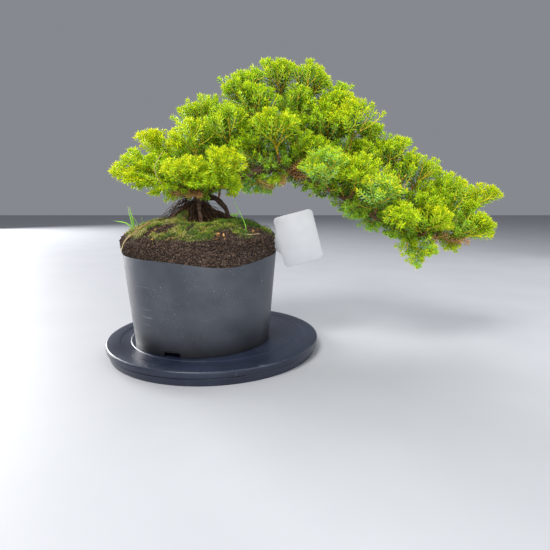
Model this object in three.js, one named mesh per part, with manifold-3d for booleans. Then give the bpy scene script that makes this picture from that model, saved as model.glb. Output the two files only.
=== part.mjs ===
// A small juniper bonsai, cascading to the right, in a cut-down nursery pot that stands on a round turntable.
// Millimetres, +Z up. The origin is the centre of the turntable's underside, and -Y is the front.
// The lower disc stays still, and everything above it turns about the Z axis on a ring of balls.
import * as THREE from "three";
import { mergeVertices } from "three/addons/utils/BufferGeometryUtils.js";
import Module from "manifold-3d";

const wasm = await Module();
wasm.setup();

// Turntable
const DISC_SIDES = 32;
const BASE = { radius: 123.5, footRadius: 121.5, top: 8.4, web: 3, rimWidth: 6, chamfer: 0.7 };
const PLATE = { radius: 125, bottom: 9.1, top: 15.8, web: 3.5, rimWidth: 7, chamfer: 1 };
const BAND = { inner: 97, outer: 110, depth: 0.6, slope: 0.6 };
const RACE = { radius: 60, halfWidth: 6, reach: 1.5, lean: 1.04 };
const BALL = { count: 6, radius: 3, height: 8, gap: 0.3 };
const HUB = { radius: 14, top: 9, floor: 2, pin: 4, head: 8, headDepth: 1.6, recess: 2.3, clearance: 0.3 };
const CAGE = { halfWidth: 5, thickness: 1.2, hole: 3.5 };
const GRIP = { inner: 101, outer: 109, depth: 1.4, gap: 0.3 };

// Pot, a cut-down nursery pot that stands a little off the turntable's centre
const POT = { x: -11.3, y: -12.4, footRadius: 77.6, taper: 0.087, wall: 1.4, sides: 32 };
const FLOOR = { height: 6.5, thick: 1.6, skirt: 1 };
const RIM = { height: 101.5, dipAngle: 27, dipWidth: 30, dipDepth: 8.8, ripple: 0.5 };
const NOTCH = { count: 3, first: -15, width: 18, height: 5.2, depth: 12 };
const DRAIN = { count: 4, ring: 50, radius: 6 };

// Root ball: its shoulder stands above the rim, and its top is a low dome
const SOIL = { edge: 136, dome: 15, shoulder: 84, gap: 0.4, rings: [22, 46, 66, 84] };
const SHOULDER = { bulge: 1.6, lean: 2.2, ripple: 0.7, high: 5, low: 11, overRim: 1.2, underRim: 6 };
const HOLLOW = { x: -8, y: -36, depth: 12, width: 15 };

// Plant label pushed into the side of the root ball
const LABEL = { length: 46, width: 59, corner: 5, thick: 0.8, segments: 3 };
// Its stake narrows to tip, a share of its width, and widens into the head through a fillet.
const STAKE = { length: 52, width: 12.5, point: 12, tip: 0.7, fillet: 10, ease: [1, 2] };
const LABEL_HEAD = { x: 101, y: -12, z: 132, tilt: 14.6 };

// Foliage: whorls of three awl-shaped needles round a slim stem
const NEEDLE = { length: 6.9, tipLength: 5.2, spread: 53, tipSpread: 30 };
// A needle leaves its ring at this share of the way to the next one.
const NEEDLE_FOOT = 0.4;
// Radii of the rods that stand for a needle and for the edges of its foot
const NEEDLE_ROD = { radius: 0.65, edge: 0.12 };
const STEM = { radius: 1.3, tipRadius: 0.8, shortest: 11, margin: 0.5 };
const WHORL = 6.3;
// Gap between a crown and its twig
const JOIN_GAP = 0.35;
// Least gap between one crown and another, and the step at which a stem is held against the others
const CLEAR = 0.4;
const CLEAR_STEP = 3;
// A shoot or a rib may start this close to other stems.
const FREE = { shoot: 7, rib: 5 };
// The first shoot of a crown bends to its tip; the second leaves it at a share of it, with a knee of its own.
const FORK = { bend: 0.35, share: 0.1, knee: 0.4, lift: 0.16 };
// Ribs: how many on each shoot, from and over what share of it, and how far they go on and aside
const RIB = { counts: [1, 1], from: 0.08, over: 0.62, forward: 0.72, aside: 0.42, spare: 5 };
const RIB_KNEE = { forward: 0.25, aside: 0.65 };

const deg = THREE.MathUtils.degToRad;
const vec = (p) => new THREE.Vector3(...p);

// A closed manifold solid from a three.js geometry, with its shared vertices merged.
function solidOf(geometry) {
  const bare = new THREE.BufferGeometry().setAttribute("position", geometry.getAttribute("position"));
  if (geometry.index) bare.setIndex(geometry.index);
  const merged = mergeVertices(bare, 1e-4);
  const index = merged.index.array;
  const kept = [];
  for (let i = 0; i < index.length; i += 3) {
    const [a, b, c] = [index[i], index[i + 1], index[i + 2]];
    if (a !== b && b !== c && a !== c) kept.push(a, b, c);
  }
  const mesh = new wasm.Mesh({
    numProp: 3,
    vertProperties: merged.attributes.position.array,
    triVerts: new Uint32Array(kept),
  });
  return new wasm.Manifold(mesh);
}

function geometryOf(solid) {
  const mesh = solid.getMesh();
  const geometry = new THREE.BufferGeometry();
  geometry.setAttribute("position", new THREE.BufferAttribute(mesh.vertProperties, 3));
  geometry.setIndex(new THREE.BufferAttribute(mesh.triVerts, 1));
  const flat = geometry.toNonIndexed();
  flat.computeVertexNormals();
  return flat;
}

// A turned solid about Z. The profile is a list of [radius, height], going up its outer side.
function lathe(profile, sides) {
  const points = profile.map(([r, z]) => new THREE.Vector2(r, z));
  return new THREE.LatheGeometry(points, sides).rotateX(Math.PI / 2);
}

function cylinder(radius, low, high, sides) {
  return lathe([[0, low], [radius, low], [radius, high], [0, high]], sides);
}

// A closed tube along a curve. radiusAt(u, angle) gives its radius, and its ends are flat.
function tube(curve, rings, sides, radiusAt) {
  const frames = curve.computeFrenetFrames(rings, false);
  const positions = [];
  const index = [];
  for (let j = 0; j <= rings; j++) {
    const centre = curve.getPointAt(j / rings);
    for (let i = 0; i < sides; i++) {
      const angle = (2 * Math.PI * i) / sides;
      const radius = radiusAt(j / rings, angle);
      const point = centre.clone();
      point.addScaledVector(frames.normals[j], radius * Math.cos(angle));
      point.addScaledVector(frames.binormals[j], radius * Math.sin(angle));
      positions.push(point.x, point.y, point.z);
    }
  }
  for (let j = 0; j < rings; j++) {
    for (let i = 0; i < sides; i++) {
      const [a, b] = [j * sides + i, j * sides + ((i + 1) % sides)];
      index.push(a, b, a + sides, b, b + sides, a + sides);
    }
  }
  const last = rings * sides;
  for (let i = 1; i < sides - 1; i++) {
    index.push(0, i + 1, i, last, last + i, last + i + 1);
  }
  const geometry = new THREE.BufferGeometry();
  geometry.setAttribute("position", new THREE.Float32BufferAttribute(positions, 3));
  return geometry.setIndex(index);
}

// Materials

const material = (color, roughness, metalness = 0) =>
  new THREE.MeshStandardMaterial({ color, roughness, metalness, flatShading: true });
const blackPlastic = material(0x23262d, 0.42);
const potPlastic = material(0x34383d, 0.5);
const rubber = material(0x141414, 0.9);
const steel = material(0xb8babd, 0.25, 1);
const whitePlastic = material(0xe4e6ea, 0.4);
const peat = material(0x34241a, 0.95);
const bark = material(0x4f382a, 0.85);
const needles = material(0x86b81a, 0.55);
const glaucous = material(0x5d9a4e, 0.6);
const grassGreen = material(0x7fc02c, 0.5);

const root = new THREE.Group();
const turning = new THREE.Group();
root.add(turning);

function addNode(parent, name, geometry, look) {
  const mesh = new THREE.Mesh(geometry, look);
  mesh.name = name;
  parent.add(mesh);
  return mesh;
}

// Lower disc: a rim, a thin web, the ball race and the hub that holds the pivot pin

const raceIn = RACE.radius - RACE.halfWidth;
const raceOut = RACE.radius + RACE.halfWidth;
const raceLow = BALL.height - RACE.reach;
const raceHigh = BALL.height + RACE.reach;
// Each race is a shallow V that clears the balls by their gap.
const grooveReach = (BALL.radius + BALL.gap) * RACE.lean;
const baseProfile = [
  [0, 0],
  [GRIP.inner, 0],
  [GRIP.inner, GRIP.depth],
  [GRIP.outer, GRIP.depth],
  [GRIP.outer, 0],
  [BASE.footRadius, 0],
  [BASE.radius, BASE.top - BASE.chamfer],
  [BASE.radius - BASE.chamfer, BASE.top],
  [BASE.radius - BASE.rimWidth, BASE.top],
  [BASE.radius - BASE.rimWidth, BASE.web],
  [raceOut, BASE.web],
  [raceOut, raceLow],
  [RACE.radius, BALL.height - grooveReach],
  [raceIn, raceLow],
  [raceIn, BASE.web],
  [HUB.radius, BASE.web],
  [HUB.radius, HUB.top],
  [HUB.pin, HUB.top],
  [HUB.pin, HUB.floor],
  [0, HUB.floor],
];
addNode(root, "turntable_base", lathe(baseProfile, DISC_SIDES), blackPlastic);

// Anti-slip ring let into the underside, flush with it
const gripProfile = [
  [GRIP.inner + GRIP.gap, 0],
  [GRIP.outer - GRIP.gap, 0],
  [GRIP.outer - GRIP.gap, GRIP.depth - GRIP.gap],
  [GRIP.inner + GRIP.gap, GRIP.depth - GRIP.gap],
  [GRIP.inner + GRIP.gap, 0],
];
addNode(root, "anti_slip_ring", lathe(gripProfile, DISC_SIDES), rubber);

// Balls in a cage, between the two races
for (let k = 0; k < BALL.count; k++) {
  const angle = (2 * Math.PI * k) / BALL.count;
  const ball = addNode(root, `bearing_ball_${k + 1}`, new THREE.SphereGeometry(BALL.radius, 6, 4), steel);
  ball.position.set(RACE.radius * Math.cos(angle), RACE.radius * Math.sin(angle), BALL.height);
}

function bearingCage() {
  const [low, high] = [BALL.height - CAGE.thickness / 2, BALL.height + CAGE.thickness / 2];
  const [inner, outer] = [RACE.radius - CAGE.halfWidth, RACE.radius + CAGE.halfWidth];
  const ring = [[inner, low], [outer, low], [outer, high], [inner, high], [inner, low]];
  let solid = solidOf(lathe(ring, 18));
  for (let k = 0; k < BALL.count; k++) {
    const angle = (2 * Math.PI * k) / BALL.count;
    const hole = cylinder(CAGE.hole, low - 1, high + 1, 6);
    hole.translate(RACE.radius * Math.cos(angle), RACE.radius * Math.sin(angle), 0);
    solid = solid.subtract(solidOf(hole));
  }
  return geometryOf(solid);
}
addNode(root, "bearing_cage", bearingCage(), whitePlastic);

// Pivot pin, fixed in the lower disc; its flat head holds the upper disc down
const pinFoot = HUB.floor + HUB.clearance;
const pinTop = PLATE.top - HUB.recess + HUB.clearance + HUB.headDepth;
const pinProfile = [
  [0, pinFoot],
  [HUB.pin - HUB.clearance, pinFoot],
  [HUB.pin - HUB.clearance, pinTop - HUB.headDepth],
  [HUB.head - HUB.clearance, pinTop - HUB.headDepth],
  [HUB.head - HUB.clearance, pinTop],
  [0, pinTop],
];
addNode(root, "pivot_pin", lathe(pinProfile, 12), steel);

// Upper disc: a deep rim, a sunk band in its top, and the upper race

const plateProfile = [
  [HUB.pin, raceHigh],
  [HUB.radius, raceHigh],
  [HUB.radius, PLATE.top - PLATE.web],
  [raceIn, PLATE.top - PLATE.web],
  [raceIn, raceHigh],
  [RACE.radius, BALL.height + grooveReach],
  [raceOut, raceHigh],
  [raceOut, PLATE.top - PLATE.web],
  [PLATE.radius - PLATE.rimWidth, PLATE.top - PLATE.web],
  [PLATE.radius - PLATE.rimWidth, PLATE.bottom],
  [PLATE.radius, PLATE.bottom],
  [PLATE.radius, PLATE.top - PLATE.chamfer],
  [PLATE.radius - PLATE.chamfer, PLATE.top],
  [BAND.outer, PLATE.top],
  [BAND.outer - BAND.slope, PLATE.top - BAND.depth],
  [BAND.inner + BAND.slope, PLATE.top - BAND.depth],
  [BAND.inner, PLATE.top],
  [HUB.head, PLATE.top],
  [HUB.head, PLATE.top - HUB.recess],
  [HUB.pin, PLATE.top - HUB.recess],
  [HUB.pin, raceHigh],
];
addNode(turning, "turntable_plate", lathe(plateProfile, DISC_SIDES), blackPlastic);

// Pot

const potBottom = PLATE.top;
const potRadius = (z) => POT.footRadius + POT.taper * (z - potBottom);
// Angle from the front, positive towards +X, in degrees.
const frontAngle = (x, y) => THREE.MathUtils.radToDeg(Math.atan2(x, -y));
// Height of the hand-cut rim: level, with one long dip at the front right.
function rimHeight(angle) {
  const away = (angle - RIM.dipAngle) / RIM.dipWidth;
  const dip = RIM.dipDepth * Math.exp(-away * away);
  return potBottom + RIM.height - dip + RIM.ripple * Math.sin(deg(3 * angle));
}

function pot() {
  const floor = potBottom + FLOOR.height;
  const floorTop = floor + FLOOR.thick;
  const rim = potBottom + RIM.height;
  const inner = (z) => potRadius(z) - POT.wall;
  const profile = [
    [0, floor],
    [inner(floor) - FLOOR.skirt, floor],
    [inner(potBottom), potBottom],
    [potRadius(potBottom), potBottom],
    [potRadius(rim), rim],
    [inner(rim), rim],
    [inner(floorTop), floorTop],
    [0, floorTop],
  ];
  const turned = lathe(profile, POT.sides);
  const at = turned.getAttribute("position");
  for (let i = 0; i < at.count; i++) {
    if (at.getZ(i) < rim - 1) continue;
    const [x, y] = [at.getX(i), at.getY(i)];
    const height = rimHeight(frontAngle(x, y));
    const scale = 1 - (POT.taper * (rim - height)) / Math.hypot(x, y);
    at.setXYZ(i, x * scale, y * scale, height);
  }
  let solid = solidOf(turned);
  for (let k = 0; k < NOTCH.count; k++) {
    const angle = deg(NOTCH.first + (360 * k) / NOTCH.count);
    const notch = new THREE.BoxGeometry(NOTCH.width, NOTCH.depth, 2 * NOTCH.height);
    notch.translate(0, -POT.footRadius, potBottom).rotateZ(angle);
    solid = solid.subtract(solidOf(notch));
  }
  for (let k = 0; k < DRAIN.count; k++) {
    const drain = cylinder(DRAIN.radius, floor - 1, floorTop + 1, 8);
    drain.translate(DRAIN.ring, 0, 0).rotateZ((2 * Math.PI * k) / DRAIN.count);
    solid = solid.subtract(solidOf(drain));
  }
  return geometryOf(solid).translate(POT.x, POT.y, 0);
}
addNode(turning, "pot", pot(), potPlastic);

// Root ball

// Height of the soil at a point given from the pot's axis.
function soilTop(x, y) {
  const reach = Math.hypot(x, y) / SOIL.shoulder;
  const dome = SOIL.dome * (1 - reach ** 4);
  const hollow = Math.hypot(x + POT.x - HOLLOW.x, y + POT.y - HOLLOW.y) / HOLLOW.width;
  const lumps = Math.sin(0.13 * x + 1) * Math.sin(0.11 * y + 2) + 0.5 * Math.sin(0.31 * x - 0.27 * y);
  return SOIL.edge + dome + lumps - HOLLOW.depth * Math.exp(-hollow * hollow);
}

function rootBall() {
  const floor = potBottom + FLOOR.height + FLOOR.thick + SOIL.gap;
  const inner = (z) => potRadius(z) - POT.wall - SOIL.gap;
  const rows = [];
  for (let i = 0; i < POT.sides; i++) {
    const angle = (2 * Math.PI * i) / POT.sides;
    const [c, s] = [Math.cos(angle), Math.sin(angle)];
    const rim = rimHeight(frontAngle(c, s));
    const bulge = SHOULDER.bulge - SHOULDER.lean * c + SHOULDER.ripple * Math.sin(5 * angle);
    const row = SOIL.rings.map((r) => [r * c, r * s, soilTop(r * c, r * s)]);
    const side = [
      [SOIL.shoulder + bulge, SOIL.edge - SHOULDER.high],
      [SOIL.shoulder + bulge * 0.8, SOIL.edge - SHOULDER.low],
      [inner(rim), rim + SHOULDER.overRim],
      [inner(rim - SHOULDER.underRim), rim - SHOULDER.underRim],
      [inner(floor), floor],
    ];
    side.forEach(([r, z]) => row.push([r * c, r * s, z]));
    rows.push(row);
  }
  const positions = [0, 0, soilTop(0, 0), 0, 0, floor];
  const per = rows[0].length;
  rows.flat().forEach((p) => positions.push(...p));
  const index = [];
  for (let i = 0; i < POT.sides; i++) {
    const [a, b] = [2 + i * per, 2 + ((i + 1) % POT.sides) * per];
    index.push(0, a, b, 1, b + per - 1, a + per - 1);
    for (let j = 0; j < per - 1; j++) {
      index.push(a + j, a + j + 1, b + j, b + j, a + j + 1, b + j + 1);
    }
  }
  const geometry = new THREE.BufferGeometry();
  geometry.setAttribute("position", new THREE.Float32BufferAttribute(positions, 3));
  return geometry.setIndex(index).translate(POT.x, POT.y, 0);
}

// Wood: the trunk, its boughs and its surface roots, all one piece

// Each branch is a path, its radii at the start and at the end, its rings and its sides.
const branch = (path, radii, rings, sides = 4) => ({ path, radii, rings, sides });
const TRUNK = branch(
  [
    [-15, -12, 122], [-15, -12, 150], [-14, -12, 170], [-4, -12, 186], [18, -13, 198], [46, -14, 206],
    [76, -15, 211], [100, -14, 205], [126, -13, 193], [154, -14, 177], [184, -16, 159], [214, -19, 143],
    [250, -21, 134], [282, -19, 138], [300, -17, 148],
  ],
  [9, 1.4], 22, 6,
);
// Boughs that carry no leaves themselves; the crowns' own twigs grow from them.
const BOUGHS = [
  branch([[-6, -12, 183], [-26, -24, 189], [-40, -33, 192]], [4, 1.9], 3),
  branch([[10, -12, 194], [-4, -4, 212], [-10, 2, 226]], [3.6, 1.9], 3),
  branch([[0, -12, 189], [2, -32, 186], [-4, -46, 185]], [3.6, 1.9], 3),
  branch([[58, -14, 208], [60, -17, 226], [52, -13, 250], [45, -7, 268]], [4.2, 2], 4),
  branch([[88, -14, 209], [94, -6, 238], [92, -2, 262]], [4.2, 2], 4),
  branch([[112, -14, 200], [128, -12, 226], [138, -8, 246]], [3.4, 1.8], 3),
  branch([[148, -14, 180], [168, -4, 204], [176, 4, 222]], [3, 1.8], 3),
  branch([[206, -18, 147], [220, -10, 160], [226, -4, 172]], [2.6, 1.6], 3),
];
const ROOTS = [
  branch([[-13, -16, 172], [-9, -30, 160], [-7, -36, 142], [-7, -39, 118]], [3, 1.8], 4),
  branch([[-10, -12, 176], [4, -14, 178], [15, -14, 170], [21, -13, 156], [23, -12, 134]], [4, 2], 5),
  branch([[-12, -8, 164], [8, -2, 160], [28, 4, 152], [48, 8, 140]], [5, 2.2], 4),
  branch([[-18, -12, 168], [-32, -10, 162], [-44, -8, 153], [-58, -6, 140]], [5, 1.8], 4),
  branch([[-18, -8, 164], [-28, 10, 158], [-38, 26, 143]], [4.5, 2], 3),
  branch([[-12, -6, 164], [-4, 16, 158], [4, 38, 142]], [4.5, 2], 3),
  branch([[-18, -16, 167], [-28, -27, 157], [-35, -36, 138]], [4, 2], 3),
];
// Short dead stubs under the left foliage.
const STUBS = [
  branch([[14, -14, 196], [13, -22, 187], [12, -26, 178]], [1.6, 1.2], 2),
  branch([[24, -14, 200], [24, -24, 188], [30, -28, 178]], [1.6, 0.9], 2),
];

const curveOf = (path) => new THREE.CatmullRomCurve3(path.map(vec), false, "centripetal");

function girth({ radii }, u) {
  return THREE.MathUtils.lerp(radii[0], radii[1], Math.min(1, u * 1.15) ** 0.75);
}

function woodTube(wood, extra = 0) {
  const gnarl = (u, angle) => 1 + 0.09 * Math.sin(3 * angle + 23 * u) + 0.05 * Math.sin(41 * u);
  const radiusAt = (u, angle) => girth(wood, u) * gnarl(u, angle) + extra;
  return tube(curveOf(wood.path), wood.rings, wood.sides, radiusAt);
}

// Crowns: each one is a leafy twig, with two shoots that end at its tips.
// base is where its bare twig ends and its leaves begin, and from is where that twig leaves the wood.
const crown = (name, from, base, ...tips) => ({ name, from, base, tips });
const CROWNS = [
  crown("left_tip", [-38, -32, 192], [-54, -38, 196], [-99, -42, 205], [-79, -58, 196]),
  crown("left_upper", [-26, -24, 189], [-38, -19, 211], [-73, -24, 246], [-56, -34, 247]),
  crown("left_top", [-9, 1, 224], [-12, 6, 240], [-26, 4, 280], [-3, 10, 281]),
  crown("left_mid", [-2, -5, 210], [-12, -26, 222], [-14, -34, 258], [-36, -44, 236]),
  crown("left_front", [2, -32, 186], [12, -52, 190], [37, -68, 219], [18, -74, 222]),
  crown("left_low", [-3, -44, 185], [-14, -54, 186], [-3, -72, 212], [-33, -76, 208]),
  crown("left_back", [-10, -8, 180], [-36, 8, 200], [-66, 22, 226], [-40, 36, 238]),
  crown("centre_left", [30, -13, 202], [26, -26, 228], [26, -32, 274], [8, -24, 262]),
  crown("top_left", [46, -8, 266], [41, -4, 279], [21, 0, 301], [39, 2, 313]),
  crown("apex_left", [92, -2, 258], [82, 2, 284], [68, 6, 329], [86, -12, 322]),
  crown("apex_right", [92, -2, 260], [104, -8, 276], [112, -10, 322], [133, -6, 307]),
  crown("centre_front", [74, -15, 211], [77, -40, 222], [64, -50, 266], [92, -54, 257]),
  crown("right_top", [137, -8, 244], [140, -8, 258], [150, -10, 292], [132, -20, 284]),
  crown("right_fan", [136, -13, 187], [155, -28, 232], [163, -28, 279], [138, -42, 264]),
  crown("right_mid", [176, 4, 220], [178, 2, 232], [189, -2, 259], [173, 12, 259]),
  crown("right_slope", [178, -15, 163], [200, -8, 202], [217, -4, 244], [196, -22, 236]),
  crown("outer_fan", [225, -5, 170], [230, -11, 182], [222, -22, 225], [256, -13, 210]),
  crown("outer", [258, -21, 134], [268, -8, 160], [282, -8, 199], [262, 4, 196]),
  crown("end", [290, -18, 141], [300, -14, 160], [296, -12, 186], [322, -16, 184]),
  crown("front_right", [118, -13, 197], [130, -44, 188], [108, -64, 214], [130, -66, 223]),
  crown("front_mid", [144, -14, 183], [157, -44, 184], [164, -56, 219], [146, -64, 204]),
  crown("front_blue", [172, -15, 166], [182, -44, 166], [176, -70, 199], [194, -62, 190]),
  crown("front_low", [200, -17, 150], [206, -46, 144], [196, -70, 166], [214, -68, 160]),
  crown("front_outer", [228, -20, 138], [238, -40, 142], [250, -52, 166], [262, -46, 150]),
  crown("hanging", [222, -19, 141], [226, -26, 128], [232, -36, 102], [250, -42, 120]),
  crown("under_end", [274, -20, 136], [286, -28, 134], [314, -28, 143], [304, -36, 156]),
  crown("under_mid", [184, -15, 159], [180, 2, 158], [196, 8, 140], [160, 14, 164]),
  crown("under_left", [52, -14, 207], [54, 0, 200], [68, 4, 184], [36, 12, 188]),
  crown("back_left", [-6, -2, 216], [-14, 28, 222], [-26, 50, 254], [0, 46, 248]),
  crown("back_top_left", [54, -14, 246], [44, 20, 262], [26, 44, 290], [48, 48, 288]),
  crown("back_apex", [93, -3, 248], [96, 24, 270], [80, 46, 304], [108, 44, 298]),
  crown("back_right", [130, -11, 230], [142, 20, 238], [128, 44, 268], [156, 38, 264]),
  crown("back_slope", [166, -5, 202], [184, 24, 202], [176, 42, 232], [206, 34, 226]),
];

// The bare twig of a crown, from the wood to its base, heading on towards its first tip
const TWIG = { radii: [1.9, 1.3], rings: 2, sides: 3, bend: 0.4, rods: 3 };
function twigCurve({ from, base, tips }) {
  const [start, end, tip] = [vec(from), vec(base), vec(tips[0])];
  const onward = tip.sub(end).normalize();
  const bend = end.clone().addScaledVector(onward, -TWIG.bend * start.distanceTo(end));
  return new THREE.QuadraticBezierCurve3(start, bend, end);
}

function twigTube(entry) {
  return tube(twigCurve(entry), TWIG.rings, TWIG.sides, (u) => girth(TWIG, u));
}

function wood() {
  const parts = [TRUNK, ...BOUGHS, ...ROOTS, ...STUBS].map((p) => solidOf(woodTube(p)));
  CROWNS.forEach((entry) => parts.push(solidOf(twigTube(entry))));
  return parts.reduce((all, part) => all.add(part));
}
addNode(turning, "trunk_and_branches", geometryOf(wood()), bark);

// Leaves

// Every stem, needle and wooden tube is kept as a rod, so that crowns can be kept clear of each other.
const rods = [];

// Shortest distance between segments p-q and r-s.
function segmentGap(p, q, r, s) {
  const [u, v, w] = [q.clone().sub(p), s.clone().sub(r), p.clone().sub(r)];
  const [a, b, c, d, e] = [u.dot(u), u.dot(v), v.dot(v), u.dot(w), v.dot(w)];
  const den = a * c - b * b;
  let t = den > 1e-9 ? THREE.MathUtils.clamp((b * e - c * d) / den, 0, 1) : 0;
  let k = (b * t + e) / c;
  if (k < 0 || k > 1) {
    k = THREE.MathUtils.clamp(k, 0, 1);
    t = THREE.MathUtils.clamp((b * k - d) / a, 0, 1);
  }
  return w.addScaledVector(u, t).addScaledVector(v, -k).length();
}

// A rod's owner is a crown, or the wood, and within a crown it belongs to one stem.
function rodOf(owner, stem, p, q, radius) {
  return { owner, stem, p, q, radius, centre: p.clone().lerp(q, 0.5), half: p.distanceTo(q) / 2 };
}

function rodsTouch(one, other) {
  const limit = one.radius + other.radius + CLEAR;
  if (one.centre.distanceTo(other.centre) > one.half + other.half + limit) return false;
  return segmentGap(one.p, one.q, other.p, other.q) < limit;
}

function addWoodRods(curve, pieces, radiusAt) {
  const points = curve.getSpacedPoints(pieces);
  for (let i = 0; i < pieces; i++) {
    rods.push(rodOf("wood", "wood", points[i], points[i + 1], radiusAt(i / pieces)));
  }
}
// A rod of the wood is a little thicker than the wood, for its gnarls.
const GNARL_ROOM = 1.1;
[TRUNK, ...BOUGHS, ...ROOTS, ...STUBS].forEach((wood) => {
  addWoodRods(curveOf(wood.path), wood.rings, (u) => girth(wood, u) * GNARL_ROOM);
});
CROWNS.forEach((entry) => addWoodRods(twigCurve(entry), TWIG.rods, () => TWIG.radii[0]));

// How far along a curve a stem stays clear of the wood and of the other crowns.
function clearLength(owner, curve, free) {
  const length = curve.getLength();
  const steps = Math.max(2, Math.round(length / CLEAR_STEP));
  const points = curve.getSpacedPoints(steps);
  for (let i = 0; i < steps; i++) {
    const along = (i / steps) * length;
    if (along < free) continue;
    const stem = rodOf(owner, "", points[i], points[i + 1], STEM.radius + STEM.margin);
    if (rods.some((rod) => rod.owner !== owner && rodsTouch(stem, rod))) return along;
  }
  return length;
}

// A stem follows a curve for some length. turn is the angle of its first whorl.
function planStem(owner, name, curve, length, turn) {
  const rings = Math.max(2, Math.round(length / WHORL));
  const share = length / curve.getLength();
  const points = [];
  for (let j = 0; j <= rings; j++) points.push(curve.getPointAt(Math.min(1, (share * j) / rings)));
  for (let j = 0; j < rings; j++) rods.push(rodOf(owner, name, points[j], points[j + 1], STEM.radius));
  return { owner, name, curve, share, rings, points, turn };
}

// Directions of a stem: ahead and sideways at a share u of its length.
const FRAME_STEPS = 40;
function directionsOf({ curve, share }) {
  const frames = curve.computeFrenetFrames(FRAME_STEPS, false);
  const nearest = (u) => Math.min(FRAME_STEPS, Math.round(u * share * FRAME_STEPS));
  return {
    ahead: (u) => frames.tangents[nearest(u)],
    aside: (u, angle) => {
      const side = frames.normals[nearest(u)].clone().multiplyScalar(Math.cos(angle));
      return side.addScaledVector(frames.binormals[nearest(u)], Math.sin(angle));
    },
  };
}

// The rods of a needle that stands on the facet a-b-c: its own, and one for each of its edges.
function needleRods({ owner, name }, [a, b, c], apex) {
  const foot = a.clone().add(b).add(c).divideScalar(3).lerp(apex, 0.2);
  const edge = (p) => rodOf(owner, name, p.clone().lerp(apex, NEEDLE_ROD.edge), apex, NEEDLE_ROD.edge);
  return [rodOf(owner, name, foot, apex, NEEDLE_ROD.radius), edge(a), edge(b), edge(c)];
}

function fits({ owner, name }, pieces) {
  const others = rods.filter((rod) => rod.owner !== owner || rod.stem !== name);
  return pieces.every((piece) => !others.some((rod) => rodsTouch(piece, rod)));
}

// A shoot is a slim three-sided stem, each ring turned by a sixth of a turn from the one before.
// One facet in two is pulled out into a needle, which gives whorls of three needles.
// A needle that would meet another stem or its needles stays flat.
function shoot(stem) {
  const { rings, points, turn } = stem;
  const { ahead, aside } = directionsOf(stem);
  const ringAngle = (j, i) => turn + (j * Math.PI) / 3 + (i * 2 * Math.PI) / 3;
  const corners = [];
  const index = [];
  for (let j = 0; j <= rings; j++) {
    const u = j / rings;
    const radius = THREE.MathUtils.lerp(STEM.radius, STEM.tipRadius, u * u);
    for (let i = 0; i < 3; i++) {
      corners.push(points[j].clone().addScaledVector(aside(u, ringAngle(j, i)), radius));
    }
  }
  // The facet a-b-c becomes three, which meet at the needle's apex, or stays as it is.
  const grow = (a, b, c, apex) => {
    const pieces = needleRods(stem, [corners[a], corners[b], corners[c]], apex);
    if (!fits(stem, pieces)) {
      index.push(a, b, c);
      return;
    }
    rods.push(...pieces);
    const n = corners.push(apex) - 1;
    index.push(a, b, n, b, c, n, c, a, n);
  };
  for (let j = 0; j < rings; j++) {
    const u = (j + NEEDLE_FOOT) / rings;
    const spread = deg(THREE.MathUtils.lerp(NEEDLE.spread, NEEDLE.tipSpread, u ** 1.6));
    const reach = THREE.MathUtils.lerp(NEEDLE.length, NEEDLE.tipLength, u * u);
    for (let i = 0; i < 3; i++) {
      const [a, b] = [j * 3 + i, j * 3 + ((i + 1) % 3)];
      const out = aside(u, ringAngle(j, i) + Math.PI / 3);
      const apex = points[j].clone().lerp(points[j + 1], NEEDLE_FOOT);
      apex.addScaledVector(out, STEM.radius * 0.6 + reach * Math.sin(spread));
      apex.addScaledVector(ahead(u), reach * Math.cos(spread));
      grow(a, b, a + 3, apex);
      index.push(b, b + 3, a + 3);
    }
  }
  index.push(0, 2, 1);
  const last = rings * 3;
  grow(last, last + 1, last + 2, points[rings].clone().addScaledVector(ahead(1), NEEDLE.tipLength));
  const geometry = new THREE.BufferGeometry();
  geometry.setAttribute("position", new THREE.Float32BufferAttribute(corners.flatMap((p) => p.toArray()), 3));
  return solidOf(geometry.setIndex(index));
}

// Low-discrepancy share of 1 for the k-th rib: 1/2, 1/4, 3/4, 1/8, 5/8 and so on.
function spreadShare(k) {
  let [n, share, step] = [k + 1, 0, 0.5];
  for (; n > 0; n = Math.floor(n / 2), step /= 2) share += (n % 2) * step;
  return share;
}

const GOLDEN = deg(137.508);
// A direction that no shoot has, to measure their turns from
const SKEW = vec([0.31, 0.83, 0.46]);

// The k-th side shoot of a shoot leaves it forwards, curves in beside it and ends level with its tip.
function ribCurve(curve, k, turn) {
  const share = RIB.from + RIB.over * spreadShare(k);
  const start = curve.getPointAt(share);
  const ahead = curve.getTangentAt(share);
  const tip = curve.getPointAt(1);
  const aside = SKEW.clone().cross(ahead).normalize().applyAxisAngle(ahead, turn + k * GOLDEN);
  const rest = start.distanceTo(tip);
  const width = RIB.spare + RIB.aside * rest;
  const end = start.clone().addScaledVector(ahead, RIB.forward * rest).addScaledVector(aside, width);
  const knee = start.clone().addScaledVector(ahead, RIB_KNEE.forward * rest);
  knee.addScaledVector(aside, RIB_KNEE.aside * width);
  return new THREE.QuadraticBezierCurve3(start, knee, end);
}

// The two shoots of a crown: the first goes on from the bare twig, and the second leaves it a little higher.
function crownCurves({ base, tips }, twig) {
  const ahead = twig.getTangentAt(1);
  const start = vec(base).addScaledVector(ahead, JOIN_GAP);
  const [first, second] = tips.map(vec);
  const bend = start.clone().addScaledVector(ahead, FORK.bend * start.distanceTo(first));
  const main = new THREE.QuadraticBezierCurve3(start, bend, first);
  const fork = main.getPointAt(FORK.share);
  const knee = fork.clone().lerp(second, FORK.knee);
  knee.addScaledVector(ahead, FORK.lift * fork.distanceTo(second));
  return [main, new THREE.QuadraticBezierCurve3(fork, knee, second)];
}

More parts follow.
